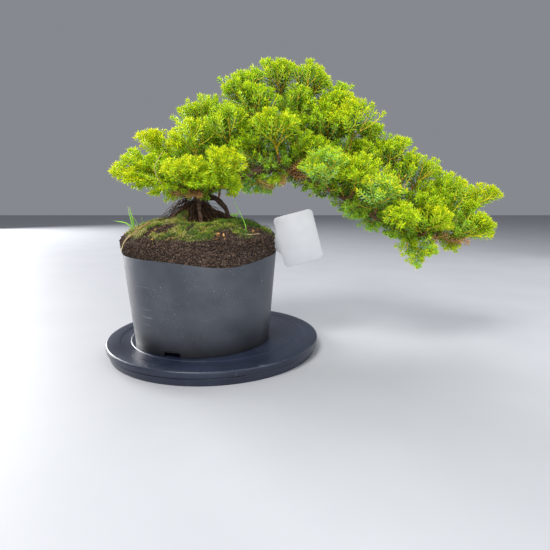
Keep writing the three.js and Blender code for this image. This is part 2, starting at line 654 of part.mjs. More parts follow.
// The stems of every crown are placed first, and their needles after that.
function crownStems(entry, order) {
  const stems = [];
  const curves = crownCurves(entry, twigCurve(entry));
  curves.forEach((curve, n) => {
    const length = clearLength(entry.name, curve, FREE.shoot);
    stems.push(planStem(entry.name, `shoot_${n}`, curve, length, order + n));
  });
  curves.forEach((curve, n) => {
    for (let k = 0; k < RIB.counts[n]; k++) {
      const rib = ribCurve(curve, k, order * 0.9 + n * 1.7);
      const length = clearLength(entry.name, rib, FREE.rib);
      if (length > STEM.shortest) stems.push(planStem(entry.name, `rib_${n}_${k}`, rib, length, order + k));
    }
  });
  return stems;
}

const BLUISH = ["front_blue", "hanging", "under_mid", "under_left", "front_right"];
const crownsStems = CROWNS.map(crownStems);
CROWNS.forEach((entry, n) => {
  const solid = crownsStems[n].map(shoot).reduce((all, part) => all.add(part));
  const look = BLUISH.includes(entry.name) ? glaucous : needles;
  addNode(turning, `foliage_${entry.name}`, geometryOf(solid), look);
});

// Label: a rounded head and a tapering stake, which meet at X = 0

function labelShape(grow = 0) {
  const { length, width, corner } = LABEL;
  const { point, fillet, ease } = STAKE;
  const [half, foot, n] = [width / 2, -STAKE.length - grow, STAKE.width / 2 + grow];
  const tip = n * STAKE.tip;
  const shape = new THREE.Shape();
  shape.moveTo(foot, 0);
  shape.lineTo(foot + point, -tip);
  shape.lineTo(-fillet, -n);
  shape.quadraticCurveTo(-ease[0], -n - ease[1], 0, -n - fillet);
  shape.lineTo(0, -half + corner);
  shape.absarc(corner, -half + corner, corner, Math.PI, 1.5 * Math.PI, false);
  shape.absarc(length - corner, -half + corner, corner, 1.5 * Math.PI, 2 * Math.PI, false);
  shape.absarc(length - corner, half - corner, corner, 0, 0.5 * Math.PI, false);
  shape.absarc(corner, half - corner, corner, 0.5 * Math.PI, Math.PI, false);
  shape.lineTo(0, n + fillet);
  shape.quadraticCurveTo(-ease[0], n + ease[1], -fillet, n);
  shape.lineTo(foot + point, tip);
  shape.closePath();
  return shape;
}

function labelSolid(grow = 0) {
  const thick = LABEL.thick + 2 * grow;
  const options = { depth: thick, bevelEnabled: false, curveSegments: LABEL.segments };
  const plate = new THREE.ExtrudeGeometry(labelShape(grow), options);
  plate.translate(-LABEL.length / 2, 0, -thick / 2).rotateX(Math.PI / 2).rotateY(-deg(LABEL_HEAD.tilt));
  return plate.translate(LABEL_HEAD.x, LABEL_HEAD.y, LABEL_HEAD.z);
}
addNode(turning, "plant_label", labelSolid(), whitePlastic);

// Weeds: a tuft of grass at the left and one thin bent stalk at the right

const GRASS = {
  grass_tuft: [
    { path: [[-84, -22, 134], [-85, -22, 150], [-88, -24, 168]], radius: 1.3 },
    { path: [[-85, -21, 134], [-88, -19, 149], [-92, -18, 168]], radius: 0.8 },
    { path: [[-84, -22, 134], [-90, -26, 149], [-104, -32, 153]], radius: 0.9 },
    { path: [[-84, -21, 134], [-79, -20, 149], [-69, -22, 151]], radius: 0.9 },
  ],
  weed_stalk: [{ path: [[44, -56, 132], [43, -54, 148], [38, -50, 160], [30, -44, 174]], radius: 0.7 }],
};

// A blade is a thin three-sided tube that narrows to a point. Its hole in the soil has some spare room.
const BLADE = { rings: 5, sides: 3, taper: 0.75, spare: 0.2 };
function blade({ path, radius }, extra = 0) {
  return tube(curveOf(path), BLADE.rings, BLADE.sides, (u) => radius * (1 - BLADE.taper * u * u) + extra);
}
Object.entries(GRASS).forEach(([name, blades]) => {
  const solid = blades.map((b) => solidOf(blade(b))).reduce((all, part) => all.add(part));
  addNode(turning, name, geometryOf(solid), grassGreen);
});

// The root ball, with plain holes for the trunk, the roots, the label's stake and the weeds
function soil() {
  const gap = SOIL.gap;
  const holes = [TRUNK, ...ROOTS].map((p) => solidOf(woodTube(p, gap)));
  Object.values(GRASS).flat().forEach((b) => holes.push(solidOf(blade(b, gap + BLADE.spare))));
  holes.push(solidOf(labelSolid(gap)));
  return holes.reduce((left, hole) => left.subtract(hole), solidOf(rootBall()));
}
addNode(turning, "root_ball", geometryOf(soil()), peat);

export default root;
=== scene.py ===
"""The looks of a potted juniper bonsai on a turntable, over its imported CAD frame.
Tables, paths and sizes are in millimetres, in the frame's axes; meshes are made in metres."""

import math

import bpy
import numpy as np
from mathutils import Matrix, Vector, noise


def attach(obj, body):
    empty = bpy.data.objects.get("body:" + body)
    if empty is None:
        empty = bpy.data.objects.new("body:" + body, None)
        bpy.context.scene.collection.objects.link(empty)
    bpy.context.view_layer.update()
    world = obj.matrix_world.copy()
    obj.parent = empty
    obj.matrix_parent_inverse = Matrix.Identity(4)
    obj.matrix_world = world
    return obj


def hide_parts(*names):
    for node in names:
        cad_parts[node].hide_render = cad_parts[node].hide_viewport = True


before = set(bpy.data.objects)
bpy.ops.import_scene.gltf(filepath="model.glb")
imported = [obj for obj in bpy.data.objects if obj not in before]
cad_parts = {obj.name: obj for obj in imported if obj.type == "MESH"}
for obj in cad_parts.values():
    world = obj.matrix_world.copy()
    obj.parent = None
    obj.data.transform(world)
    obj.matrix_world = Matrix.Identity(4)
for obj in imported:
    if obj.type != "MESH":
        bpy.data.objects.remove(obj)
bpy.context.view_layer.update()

MM = 0.001
GOLDEN = math.radians(137.508)
# A direction that no branch runs in, from which those square to a branch are found
ASKEW = (0.31, 0.83, 0.46)
SEEDS = {
    "crumbs": 11, "moss": 23, "root_mass": 5, "hair_roots": 17, "litter": 31,
    "crown": 100, "inner": 300, "between": 401,
}

# Turntable, as in the CAD source
BASE = {"radius": 123.5, "foot": 121.5, "top": 8.4, "web": 3, "rim": 6, "chamfer": 0.7}
PLATE = {"radius": 125, "bottom": 9.1, "top": 15.8, "web": 3.5, "rim": 7, "chamfer": 1}
BAND = {"inner": 97, "outer": 110, "ring": 90, "depth": 0.6, "slope": 0.6}
RACE = {"radius": 60, "half": 6, "reach": 1.5, "groove": 3.43}
RACE_IN, RACE_OUT = RACE["radius"] - RACE["half"], RACE["radius"] + RACE["half"]
BALL = {"count": 6, "radius": 3, "height": 8}
HUB = {"radius": 14, "top": 9, "floor": 2, "pin": 4, "head": 8, "head_depth": 1.6, "recess": 2.3, "gap": 0.3}
CAGE = {"half": 5, "thick": 1.2, "hole": 3.5}
GRIP = {"inner": 101.3, "outer": 108.7, "top": 1.1, "groove_in": 101, "groove_out": 109, "groove_top": 1.4}

# Pot and root ball, as in the CAD source
POT = {"x": -11.3, "y": -12.4, "foot": 77.6, "taper": 0.087, "wall": 1.4}
FLOOR = {"height": 6.5, "thick": 1.6, "skirt": 1}
RIM = {"height": 101.5, "dip_angle": 27, "dip_width": 30, "dip_depth": 8.8, "ripple": 0.5}
NOTCH = {"count": 3, "first": -15, "width": 18, "height": 5.2, "corner": 2}
DRAIN = {"count": 4, "ring": 50, "radius": 6}
SOIL = {"edge": 136, "dome": 15, "shoulder": 84, "gap": 0.4}
HOLLOW = {"x": -8, "y": -36, "depth": 12, "width": 15}

# The pot's foot is painted darker, as painted shade and a painted reflection of the dark disc, up to this
# height above the disc.
POT_SHADE_HEIGHT = 32
# The root ball's skin faces away from this point.
SOIL_HEART = np.array([POT["x"], POT["y"], SOIL["edge"] - 30])

# Label, as in the CAD source
LABEL = {"length": 46, "width": 59, "corner": 5, "neck": 12.5, "shoulder": 10, "stake": 52, "point": 12}
LABEL_HEAD = {"x": 101, "y": -12, "z": 132, "tilt": 14.6, "thick": 0.8}

# Wood: each branch has a path, and its radius at the start and at the end.
TRUNK = {
    "path": [
        (-15, -12, 122), (-15, -12, 150), (-14, -12, 170), (-4, -12, 186), (18, -13, 198),
        (46, -14, 206), (76, -15, 211), (100, -14, 205), (126, -13, 193), (154, -14, 177),
        (184, -16, 159), (214, -19, 143), (250, -21, 134), (282, -19, 138), (300, -17, 148),
    ],
    "radii": (9, 1.4),
}
BOUGHS = [
    {"path": [(-6, -12, 183), (-26, -24, 189), (-40, -33, 192)], "radii": (4, 1.9)},
    {"path": [(10, -12, 194), (-4, -4, 212), (-10, 2, 226)], "radii": (3.6, 1.9)},
    {"path": [(0, -12, 189), (2, -32, 186), (-4, -46, 185)], "radii": (3.6, 1.9)},
    {"path": [(58, -14, 208), (60, -17, 226), (52, -13, 250), (45, -7, 268)], "radii": (4.2, 2)},
    {"path": [(88, -14, 209), (94, -6, 238), (92, -2, 262)], "radii": (4.2, 2)},
    {"path": [(112, -14, 200), (128, -12, 226), (138, -8, 246)], "radii": (3.4, 1.8)},
    {"path": [(148, -14, 180), (168, -4, 204), (176, 4, 222)], "radii": (3, 1.8)},
    {"path": [(206, -18, 147), (220, -10, 160), (226, -4, 172)], "radii": (2.6, 1.6)},
]
ROOTS = [
    {"path": [(-13, -16, 172), (-9, -30, 160), (-7, -36, 142), (-7, -39, 118)], "radii": (3, 1.8)},
    {
        "path": [(-10, -12, 176), (4, -14, 178), (15, -14, 170), (21, -13, 156), (23, -12, 134)],
        "radii": (4, 2),
    },
    {"path": [(-12, -8, 164), (8, -2, 160), (28, 4, 152), (48, 8, 140)], "radii": (5, 2.2)},
    {"path": [(-18, -12, 168), (-32, -10, 162), (-44, -8, 153), (-58, -6, 140)], "radii": (5, 1.8)},
    {"path": [(-18, -8, 164), (-28, 10, 158), (-38, 26, 143)], "radii": (4.5, 2)},
    {"path": [(-12, -6, 164), (-4, 16, 158), (4, 38, 142)], "radii": (4.5, 2)},
    {"path": [(-18, -16, 167), (-28, -27, 157), (-35, -36, 138)], "radii": (4, 2)},
]
STUBS = [
    {"path": [(14, -14, 196), (13, -22, 187), (12, -26, 178)], "radii": (1.6, 1.2)},
    {"path": [(24, -14, 200), (24, -24, 188), (30, -28, 178)], "radii": (1.6, 0.9)},
]
TWIG_RADII = (1.9, 1.3)
# The axis that the root mass stands round, where the trunk meets the soil
TRUNK_FOOT = np.array([-15.0, -12.0, 0.0])

# Crowns: name, where the twig leaves the wood, where its leaves begin, and its two tips
CROWNS = [
    ("left_tip", (-38, -32, 192), (-54, -38, 196), (-99, -42, 205), (-79, -58, 196)),
    ("left_upper", (-26, -24, 189), (-38, -19, 211), (-73, -24, 246), (-56, -34, 247)),
    ("left_top", (-9, 1, 224), (-12, 6, 240), (-26, 4, 280), (-3, 10, 281)),
    ("left_mid", (-2, -5, 210), (-12, -26, 222), (-14, -34, 258), (-36, -44, 236)),
    ("left_front", (2, -32, 186), (12, -52, 190), (37, -68, 219), (18, -74, 222)),
    ("left_low", (-3, -44, 185), (-14, -54, 186), (-3, -72, 212), (-33, -76, 208)),
    ("left_back", (-10, -8, 180), (-36, 8, 200), (-66, 22, 226), (-40, 36, 238)),
    ("centre_left", (30, -13, 202), (26, -26, 228), (26, -32, 274), (8, -24, 262)),
    ("top_left", (46, -8, 266), (41, -4, 279), (21, 0, 301), (39, 2, 313)),
    ("apex_left", (92, -2, 258), (82, 2, 284), (68, 6, 329), (86, -12, 322)),
    ("apex_right", (92, -2, 260), (104, -8, 276), (112, -10, 322), (133, -6, 307)),
    ("centre_front", (74, -15, 211), (77, -40, 222), (64, -50, 266), (92, -54, 257)),
    ("right_top", (137, -8, 244), (140, -8, 258), (150, -10, 292), (132, -20, 284)),
    ("right_fan", (136, -13, 187), (155, -28, 232), (163, -28, 279), (138, -42, 264)),
    ("right_mid", (176, 4, 220), (178, 2, 232), (189, -2, 259), (173, 12, 259)),
    ("right_slope", (178, -15, 163), (200, -8, 202), (217, -4, 244), (196, -22, 236)),
    ("outer_fan", (225, -5, 170), (230, -11, 182), (222, -22, 225), (256, -13, 210)),
    ("outer", (258, -21, 134), (268, -8, 160), (282, -8, 199), (262, 4, 196)),
    ("end", (290, -18, 141), (300, -14, 160), (296, -12, 186), (322, -16, 184)),
    ("front_right", (118, -13, 197), (130, -44, 188), (108, -64, 214), (130, -66, 223)),
    ("front_mid", (144, -14, 183), (157, -44, 184), (164, -56, 219), (146, -64, 204)),
    ("front_blue", (172, -15, 166), (182, -44, 166), (176, -70, 199), (194, -62, 190)),
    ("front_low", (200, -17, 150), (206, -46, 144), (196, -70, 166), (214, -68, 160)),
    ("front_outer", (228, -20, 138), (238, -40, 142), (250, -52, 166), (262, -46, 150)),
    ("hanging", (222, -19, 141), (226, -26, 128), (232, -36, 102), (250, -42, 120)),
    ("under_end", (274, -20, 136), (286, -28, 134), (314, -28, 143), (304, -36, 156)),
    ("under_mid", (184, -15, 159), (180, 2, 158), (196, 8, 140), (160, 14, 164)),
    ("under_left", (52, -14, 207), (54, 0, 200), (68, 4, 184), (36, 12, 188)),
    ("back_left", (-6, -2, 216), (-14, 28, 222), (-26, 50, 254), (0, 46, 248)),
    ("back_top_left", (54, -14, 246), (44, 20, 262), (26, 44, 290), (48, 48, 288)),
    ("back_apex", (93, -3, 248), (96, 24, 270), (80, 46, 304), (108, 44, 298)),
    ("back_right", (130, -11, 230), (142, 20, 238), (128, 44, 268), (156, 38, 264)),
    ("back_slope", (166, -5, 202), (184, 24, 202), (176, 42, 232), (206, 34, 226)),
]
BLUISH = ("front_blue", "hanging", "under_mid", "under_left", "front_right")
# Crowns that are slimmer than the rest
SLIM = {
    "left_tip": 0.6, "left_upper": 0.5, "left_top": 0.8, "left_low": 0.85, "left_front": 0.85,
    "centre_front": 0.72, "apex_left": 0.8, "apex_right": 0.8, "right_fan": 0.85, "right_mid": 0.6,
    "right_slope": 0.8, "outer_fan": 0.8, "end": 0.8, "hanging": 0.6, "back_slope": 0.8,
}
# Leading shoots between the crowns: where each leaves the wood, and its tip
BETWEEN = [
    ((-44, -34, 193), (-70, -46, 213)), ((-50, -36, 195), (-84, -40, 220)),
    ((-40, -32, 192), (-60, -30, 224)), ((-30, -28, 190), (-60, -40, 182)),
    ((-20, -24, 186), (-44, -36, 175)), ((-34, -30, 191), (-76, -44, 189)),
    ((12, -42, 188), (35, -56, 186)), ((20, -14, 199), (30, -34, 181)), ((70, -15, 208), (79, -22, 192)),
    ((168, -4, 204), (162, -20, 240)), ((160, -9, 196), (172, -26, 236)),
    ((94, -2, 258), (116, -20, 282)), ((128, -12, 226), (116, -26, 266)),
    ((134, -10, 238), (126, -24, 276)), ((232, -20, 138), (237, -32, 182)),
    ((246, -21, 134), (252, -30, 178)), ((56, -16, 228), (36, -30, 254)),
    ((58, -15, 218), (40, -34, 242)), ((30, -13, 202), (32, -36, 236)), ((92, -3, 240), (104, -24, 262)),
    ((48, -12, 256), (58, -26, 284)), ((92, -5, 236), (84, -30, 262)), ((56, -14, 240), (62, -20, 296)),
    ((50, -10, 262), (46, -22, 298)), ((92, -4, 250), (102, -24, 294)),
    ((104, -14, 204), (112, -30, 246)), ((112, -14, 200), (124, -34, 240)),
    ((98, -14, 205), (100, -34, 234)), ((132, -13, 190), (142, -34, 226)),
    ((137, -8, 244), (129, -6, 288)), ((140, -8, 252), (148, -6, 301)), ((46, -14, 206), (41, -22, 229)),
    ((160, -14, 173), (173, -34, 186)), ((45, -7, 268), (54, -4, 317)),
    ((236, -20, 137), (248, -12, 194)), ((250, -21, 134), (260, -24, 187)),
    ((206, -18, 147), (218, -14, 220)), ((-10, 2, 226), (8, -2, 290)), ((-6, -4, 214), (6, -14, 250)),
    ((30, -13, 202), (20, -8, 249)), ((262, -20, 135), (270, -12, 204)),
    ((282, -19, 138), (288, -28, 174)), ((222, -19, 141), (222, -32, 117)),
    ((262, -20, 135), (276, -30, 119)), ((176, 4, 222), (194, -10, 240)),
    ((139, -8, 244), (158, -14, 250)), ((2, -40, 186), (14, -72, 193)), ((0, -44, 186), (-8, -74, 191)),
    ((8, -48, 188), (30, -70, 198)), ((-30, -28, 190), (-42, -56, 188)),
]
# How golden the tips of a crown are: the left ones most, those at the back and beneath least
GOLD = {
    "left_tip": 0.2, "left_upper": 0.34, "left_front": 0.16, "left_low": 0.14, "left_mid": 0.1,
    "apex_left": 0.08, "apex_right": 0.1, "right_top": 0.06, "right_fan": 0.12, "outer_fan": 0.1,
    "outer": 0.08, "end": 0.2, "front_outer": 0.12, "front_blue": 0.15, "under_mid": -0.3, "under_left": -0.3,
}

# Weeds: the grass and the stalk, as in the CAD source
GRASS = [
    {"path": [(-84, -22, 134), (-85, -22, 150), (-88, -24, 168)], "radius": 1.3},
    {"path": [(-85, -21, 134), (-88, -19, 149), (-92, -18, 168)], "radius": 0.8},
    {"path": [(-84, -22, 134), (-90, -26, 149), (-104, -32, 153)], "radius": 0.9},
    {"path": [(-84, -21, 134), (-79, -20, 149), (-69, -22, 151)], "radius": 0.9},
]
STALK = {"path": [(44, -56, 132), (43, -54, 148), (38, -50, 160), (30, -44, 174)], "radius": 0.7}


# Curves and vectors


def unit(vectors):
    return vectors / np.linalg.norm(vectors, axis=-1, keepdims=True)


def blend(a, b, share):
    return a + (b - a) * share


def circle(count):
    """Angles at even distances round a circle."""
    return np.linspace(0, 2 * math.pi, count, endpoint=False)


def evenly(points, count):
    """count points at even distances along a line of points."""
    steps = np.linalg.norm(np.diff(points, axis=0), axis=1)
    along = np.concatenate([[0], np.cumsum(steps)])
    wanted = np.linspace(0, along[-1], count)
    return np.stack([np.interp(wanted, along, points[:, i]) for i in range(3)], axis=1)


def through(path, count):
    """Evenly spaced points on a centripetal Catmull-Rom curve through a path."""
    knots = np.array(path, float)
    knots = np.vstack([2 * knots[0] - knots[1], knots, 2 * knots[-1] - knots[-2]])
    share = np.linspace(0, 1, 24, endpoint=False)[:, None]
    found = []
    for a, b, c, d in zip(knots, knots[1:], knots[2:], knots[3:]):
        ab, bc, cd = (math.sqrt(np.linalg.norm(q - p)) for p, q in ((a, b), (b, c), (c, d)))
        out = bc * ((b - a) / ab - (c - a) / (ab + bc) + (c - b) / bc)
        into = bc * ((c - b) / bc - (d - b) / (bc + cd) + (d - c) / cd)
        bent = (2 * b - 2 * c + out + into) * share**3 + (3 * c - 3 * b - 2 * out - into) * share**2
        found.append(b + out * share + bent)
    return evenly(np.vstack([*found, knots[-2][None]]), count)


def arc(start, knee, end, count):
    """Evenly spaced points on a quadratic curve."""
    share = np.linspace(0, 1, 30)[:, None]
    curve = (1 - share) ** 2 * start + 2 * share * (1 - share) * knee + share**2 * end
    return evenly(curve, count)


def at(curve, share):
    """The point at a share of a curve, and the direction there."""
    place = min(max(share, 0), 1) * (len(curve) - 1)
    low = min(int(place), len(curve) - 2)
    step = curve[low + 1] - curve[low]
    return curve[low] + step * (place - low), unit(step)


def length_of(curve):
    return float(np.linalg.norm(np.diff(curve, axis=0), axis=1).sum())


def frames_of(curve):
    """Direction, normal and binormal at each point of a curve, without twist."""
    ahead = unit(np.gradient(curve, axis=0))
    normals = np.empty_like(curve)
    normal = unit(np.cross(ahead[0], ASKEW))
    for i, direction in enumerate(ahead):
        normal = unit(normal - direction * (normal @ direction))
        normals[i] = normal
    return ahead, normals, np.cross(ahead, normals)


def turned(vector, axis, angle):
    """vector turned about a unit axis that it is square to."""
    return vector * math.cos(angle) + np.cross(axis, vector) * math.sin(angle)


def sideways(ahead, turn):
    """A direction square to ahead, turned about it."""
    return turned(unit(np.cross(ASKEW, ahead)), ahead, turn)


def rough(points, size, seed=0.0):
    """Smooth noise from -1 to 1 at each point, with lumps of about that size."""
    shifted = np.asarray(points) / size + seed
    return np.array([noise.noise(Vector(p)) for p in shifted])


# Meshes


class Shape:
    """Gathers vertices, faces and a tint for each vertex, and makes them into one piece."""

    def __init__(self):
        self.points = []
        self.faces = []
        self.tints = []
        self.count = 0

    def add(self, points, faces, tint=(0, 0, 0, 0)):
        """faces is a list of arrays of vertex numbers, one row a face, counted from these points' first."""
        self.points.append(np.asarray(points, float))
        self.faces += [np.atleast_2d(f) + self.count for f in faces]
        self.tints.append(np.broadcast_to(np.asarray(tint, float), (len(points), 4)))
        self.count += len(points)

    def piece(self, name, body, material, replaces=(), smooth=True, sharp=35):
        """The finished object. Edges that bend by more than sharp degrees stay crisp."""
        mesh = bpy.data.meshes.new(name)
        points = np.concatenate(self.points) * MM
        corners = np.concatenate([f.ravel() for f in self.faces])
        sizes = np.concatenate([np.full(len(f), f.shape[1]) for f in self.faces])
        mesh.vertices.add(len(points))
        mesh.vertices.foreach_set("co", points.ravel())
        mesh.loops.add(len(corners))
        mesh.loops.foreach_set("vertex_index", corners)
        mesh.polygons.add(len(sizes))
        mesh.polygons.foreach_set("loop_start", np.cumsum(sizes) - sizes)
        mesh.polygons.foreach_set("use_smooth", np.full(len(sizes), smooth))
        tint = mesh.attributes.new("tint", "FLOAT_COLOR", "POINT")
        tint.data.foreach_set("color", np.concatenate(self.tints).ravel())
        mesh.update(calc_edges=True)
        mesh.validate()
        if smooth:
            mesh.set_sharp_from_angle(angle=math.radians(sharp))
        return dress(mesh, name, body, material, replaces)


def dress(mesh, name, body, material, replaces=()):
    """An object of a mesh, with its material, riding on a body."""
    made = bpy.data.objects.new(name, mesh)
    bpy.context.scene.collection.objects.link(made)
    mesh.materials.clear()
    mesh.materials.append(material)
    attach(made, body)
    if replaces:
        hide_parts(*replaces)
    return made


def ring_faces(rows, sides, closed=False):
    """Quads between rows of points, each row a ring; closed joins the last row to the first."""
    row = np.arange(rows if closed else rows - 1)[:, None] * sides
    here = np.arange(sides)[None]
    on = (here + 1) % sides
    above = (row + sides) % (rows * sides)
    return np.stack([row + here, row + on, above + on, above + here], axis=-1).reshape(-1, 4)


def solid_faces(rows, sides):
    """The faces of rows of rings, with the first and the last ring filled."""
    first = np.arange(sides)
    return [ring_faces(rows, sides), first[::-1][None], first[None] + (rows - 1) * sides]


def copied_faces(pattern, corners, count):
    """The faces of count copies of a pattern that has so many corners."""
    return (pattern[None] + corners * np.arange(count)[:, None, None]).reshape(-1, pattern.shape[1])


def soften(profile, radius, closed=False, steps=2):
    """A profile with its corners rounded, by as much as its edges allow."""
    corners = np.array(profile, float)
    found = []
    for i, corner in enumerate(corners):
        if not closed and i in (0, len(corners) - 1):
            found.append(corner)
            continue
        back = corners[i - 1] - corner
        on = corners[(i + 1) % len(corners)] - corner
        start = corner + back * min(0.45, radius / np.linalg.norm(back))
        end = corner + on * min(0.45, radius / np.linalg.norm(on))
        for share in np.linspace(0, 1, steps + 1):
            found.append((1 - share) ** 2 * start + 2 * share * (1 - share) * corner + share**2 * end)
    return np.array(found)


def turned_points(profile, sides):
    angles = circle(sides)
    c, s = np.cos(angles), np.sin(angles)
    rings = [np.stack([r * c, r * s, np.full(sides, z)], axis=1) for r, z in profile]
    return np.concatenate(rings)


def lathe(shape, profile, sides=128, closed=False):
    """Adds a profile of (radius, height) turned about Z. It runs outwards beneath and inwards on top."""
    rows = len(profile)
    faces = [ring_faces(rows, sides, closed)] if closed else solid_faces(rows, sides)
    shape.add(turned_points(profile, sides), faces)


def tube(shape, curve, radius, sides, tint=(0, 0, 0, 0), relief=None, pointed=False):
    """Adds a tube along a curve. radius is one number or one a point, and relief(points) lifts its skin."""
    ahead, normal, binormal = frames_of(curve)
    radius = np.broadcast_to(radius, len(curve))
    angle = circle(sides)
    out = normal[:, None] * np.cos(angle)[:, None] + binormal[:, None] * np.sin(angle)[:, None]
    points = curve[:, None] + out * radius[:, None, None]
    if relief is not None:
        lift = relief(points.reshape(-1, 3)).reshape(points.shape[:2])
        points = points + out * (lift * np.minimum(1, radius / 2)[:, None])[..., None]
    rows = len(curve)
    faces = solid_faces(rows, sides)
    points = points.reshape(-1, 3)
    if pointed:
        points = np.vstack([points, curve[-1] + ahead[-1] * radius[-1] * 2])
        first, last = np.arange(sides), (rows - 1) * sides
        tip = np.full(sides, rows * sides)
        faces[2] = np.stack([last + first, last + (first + 1) % sides, tip], axis=1)
    tint = np.asarray(tint, float)
    if tint.ndim == 2:
        tint = np.repeat(tint, sides, axis=0)
        tint = np.vstack([tint, tint[-1]]) if pointed else tint
    shape.add(points, faces, tint)


# Materials


class Look:
    """A Principled material, with short calls for the nodes that feed it."""

    def __init__(self, name, **values):
        self.material = bpy.data.materials.new(name)
        self.material.use_nodes = True
        self.tree = self.material.node_tree
        self.shader = self.tree.nodes["Principled BSDF"]
        self.places = self.node("ShaderNodeTexCoord").outputs["Object"]
        for name_, value in values.items():
            self.set(name_.replace("_", " "), value)

    def node(self, kind, inputs=None, **settings):
        made = self.tree.nodes.new(kind)
        for key, value in settings.items():
            setattr(made, key, value)
        for key, value in (inputs or {}).items():
            self.feed(made.inputs[key], value)
        return made

    def feed(self, socket, value):
        if isinstance(value, bpy.types.NodeSocket):
            self.tree.links.new(value, socket)
        else:
            socket.default_value = value

    def set(self, socket, value):
        self.feed(self.shader.inputs[socket], value)

    def noise(self, size, detail=3, stretch=(1, 1, 1), sharpness=0.5):
        """Noise with lumps of about size millimetres."""
        where = self.node("ShaderNodeMapping", {"Vector": self.places, "Scale": stretch}).outputs["Vector"]
        inputs = {"Vector": where, "Scale": 1 / (size * MM), "Detail": detail, "Roughness": sharpness}
        return self.node("ShaderNodeTexNoise", inputs).outputs["Fac"]

    def spread(self, value, low, high, to_low=0.0, to_high=1.0):
        inputs = {"Value": value, "From Min": low, "From Max": high, "To Min": to_low, "To Max": to_high}
        return self.node("ShaderNodeMapRange", inputs).outputs["Result"]

    def maths(self, operation, a, b):
        return self.node("ShaderNodeMath", {0: a, 1: b}, operation=operation).outputs["Value"]

    def ramp(self, value, *stops):
        """A colour for a value, from stops of (place, colour)."""
        made = self.node("ShaderNodeValToRGB", {"Fac": value})
        elements = made.color_ramp.elements
        while len(elements) < len(stops):
            elements.new(0.5)
        for element, (place, colour) in zip(elements, stops):
            element.position = place
            element.color = (*colour, 1)
        return made.outputs["Color"]

    def mix(self, share, a, b):
        made = self.node("ShaderNodeMix", data_type="RGBA")
        self.feed(made.inputs[0], share)
        self.feed(made.inputs[6], a)
        self.feed(made.inputs[7], b)
        return made.outputs[2]

    def bump(self, height, depth):
        """Relief that is depth millimetres deep."""
        made = self.node("ShaderNodeBump", {"Height": height, "Distance": depth * MM})
        self.set("Normal", made.outputs["Normal"])

    def tint(self):
        """Red, green, blue and alpha of the mesh's own tint."""
        read = self.node("ShaderNodeAttribute", attribute_name="tint")
        parts = self.node("ShaderNodeSeparateColor", {"Color": read.outputs["Color"]}).outputs
        return parts["Red"], parts["Green"], parts["Blue"], read.outputs["Alpha"]


def plastic(name, dark, light, roughness, dust, grain=0.03):
    """Moulded plastic: a cloudy tone, fine dust specks and hair-thin scratches.
    Where tint red is 1 it is painted darker: painted shade and a painted reflection of the disc at the pot's
    foot."""
    look = Look(name)
    cloud = look.noise(34, detail=4)
    tone = look.ramp(cloud, (0.3, dark), (0.72, light))
    specks = look.spread(look.noise(1.1, detail=2), 0.66, 0.75)
    patch = look.spread(look.noise(20, detail=2), 0.42, 0.62)
    dusty = look.maths("MULTIPLY", specks, patch)
    tone = look.mix(dusty, tone, (*dust, 1))
    scratch = look.spread(look.noise(1.6, detail=1, stretch=(0.05, 0.05, 1)), 0.70, 0.74)
    worn = look.maths("MULTIPLY", scratch, look.spread(look.noise(45), 0.50, 0.66, 0, 0.35))
    # Tint red marks painted shade and a painted reflection of the disc, at the pot's foot.
    foot, _, _, _ = look.tint()
    shade = (*(0.1 * part for part in dark), 1)
    look.set("Base Color", look.mix(foot, look.mix(worn, tone, (*dust, 1)), shade))
    gloss = look.spread(cloud, 0.3, 0.7, roughness - 0.05, roughness + 0.07)
    look.set("Roughness", look.maths("ADD", gloss, look.maths("MULTIPLY", dusty, 0.3)))
    look.bump(look.noise(0.8, detail=2), grain)
    return look.material


def peat():
    """Potting soil: tint red is moss over it, green the lightness of a grain, blue is painted shade."""
    look = Look("peat_soil", Specular_IOR_Level=0.25)
    grain = look.noise(1.5, detail=5, sharpness=0.7)
    tone = look.ramp(
        grain, (0.36, (0.004, 0.003, 0.002)), (0.49, (0.026, 0.015, 0.011)),
        (0.58, (0.095, 0.062, 0.045)), (0.7, (0.30, 0.22, 0.16)),
    )
    fibres = look.noise(1.3, detail=2, stretch=(0.35, 0.35, 1.0))
    fibres = look.maths("MULTIPLY", look.spread(fibres, 0.62, 0.7), 0.45)
    tone = look.mix(fibres, tone, (0.30, 0.21, 0.15, 1))
    mossy, lot, damp, _ = look.tint()
    under = look.ramp(
        grain, (0.38, (0.012, 0.014, 0.004)), (0.5, (0.05, 0.07, 0.012)), (0.66, (0.20, 0.22, 0.06)),
    )
    tone = look.mix(mossy, tone, under)
    tone = look.mix(look.spread(lot, 0, 1, 0, 0.75), tone, (0.15, 0.085, 0.05, 1))
    # Painted shade: where tint blue is high the soil is painted near black.
    look.set("Base Color", look.mix(look.spread(damp, 0.1, 1, 0, 0.85), tone, (0.009, 0.006, 0.004, 1)))
    look.set("Roughness", look.spread(grain, 0.3, 0.7, 0.75, 0.98))
    look.bump(grain, 0.7)
    return look.material


def bark():
    """Grey-brown bark on old wood, darker and redder on roots and young twigs.
    Tint red is age, green is damp."""
    look = Look("bark_flaking", Specular_IOR_Level=0.3)
    flakes = look.noise(2.2, detail=5, sharpness=0.65)
    old = look.ramp(
        flakes, (0.3, (0.035, 0.02, 0.013)), (0.5, (0.13, 0.08, 0.055)), (0.72, (0.36, 0.27, 0.22)),
    )
    young = look.ramp(
        flakes, (0.3, (0.05, 0.018, 0.006)), (0.52, (0.22, 0.08, 0.02)), (0.75, (0.42, 0.20, 0.06)),
    )
    damp = look.ramp(
        flakes, (0.35, (0.005, 0.003, 0.0025)), (0.6, (0.028, 0.016, 0.011)), (0.8, (0.09, 0.055, 0.036)),
    )
    age, wet, _, _ = look.tint()
    tone = look.mix(age, young, old)
    look.set("Base Color", look.mix(wet, tone, damp))
    look.set("Roughness", look.spread(flakes, 0.3, 0.7, 0.95, 0.7))
    look.bump(flakes, 0.6)
    return look.material


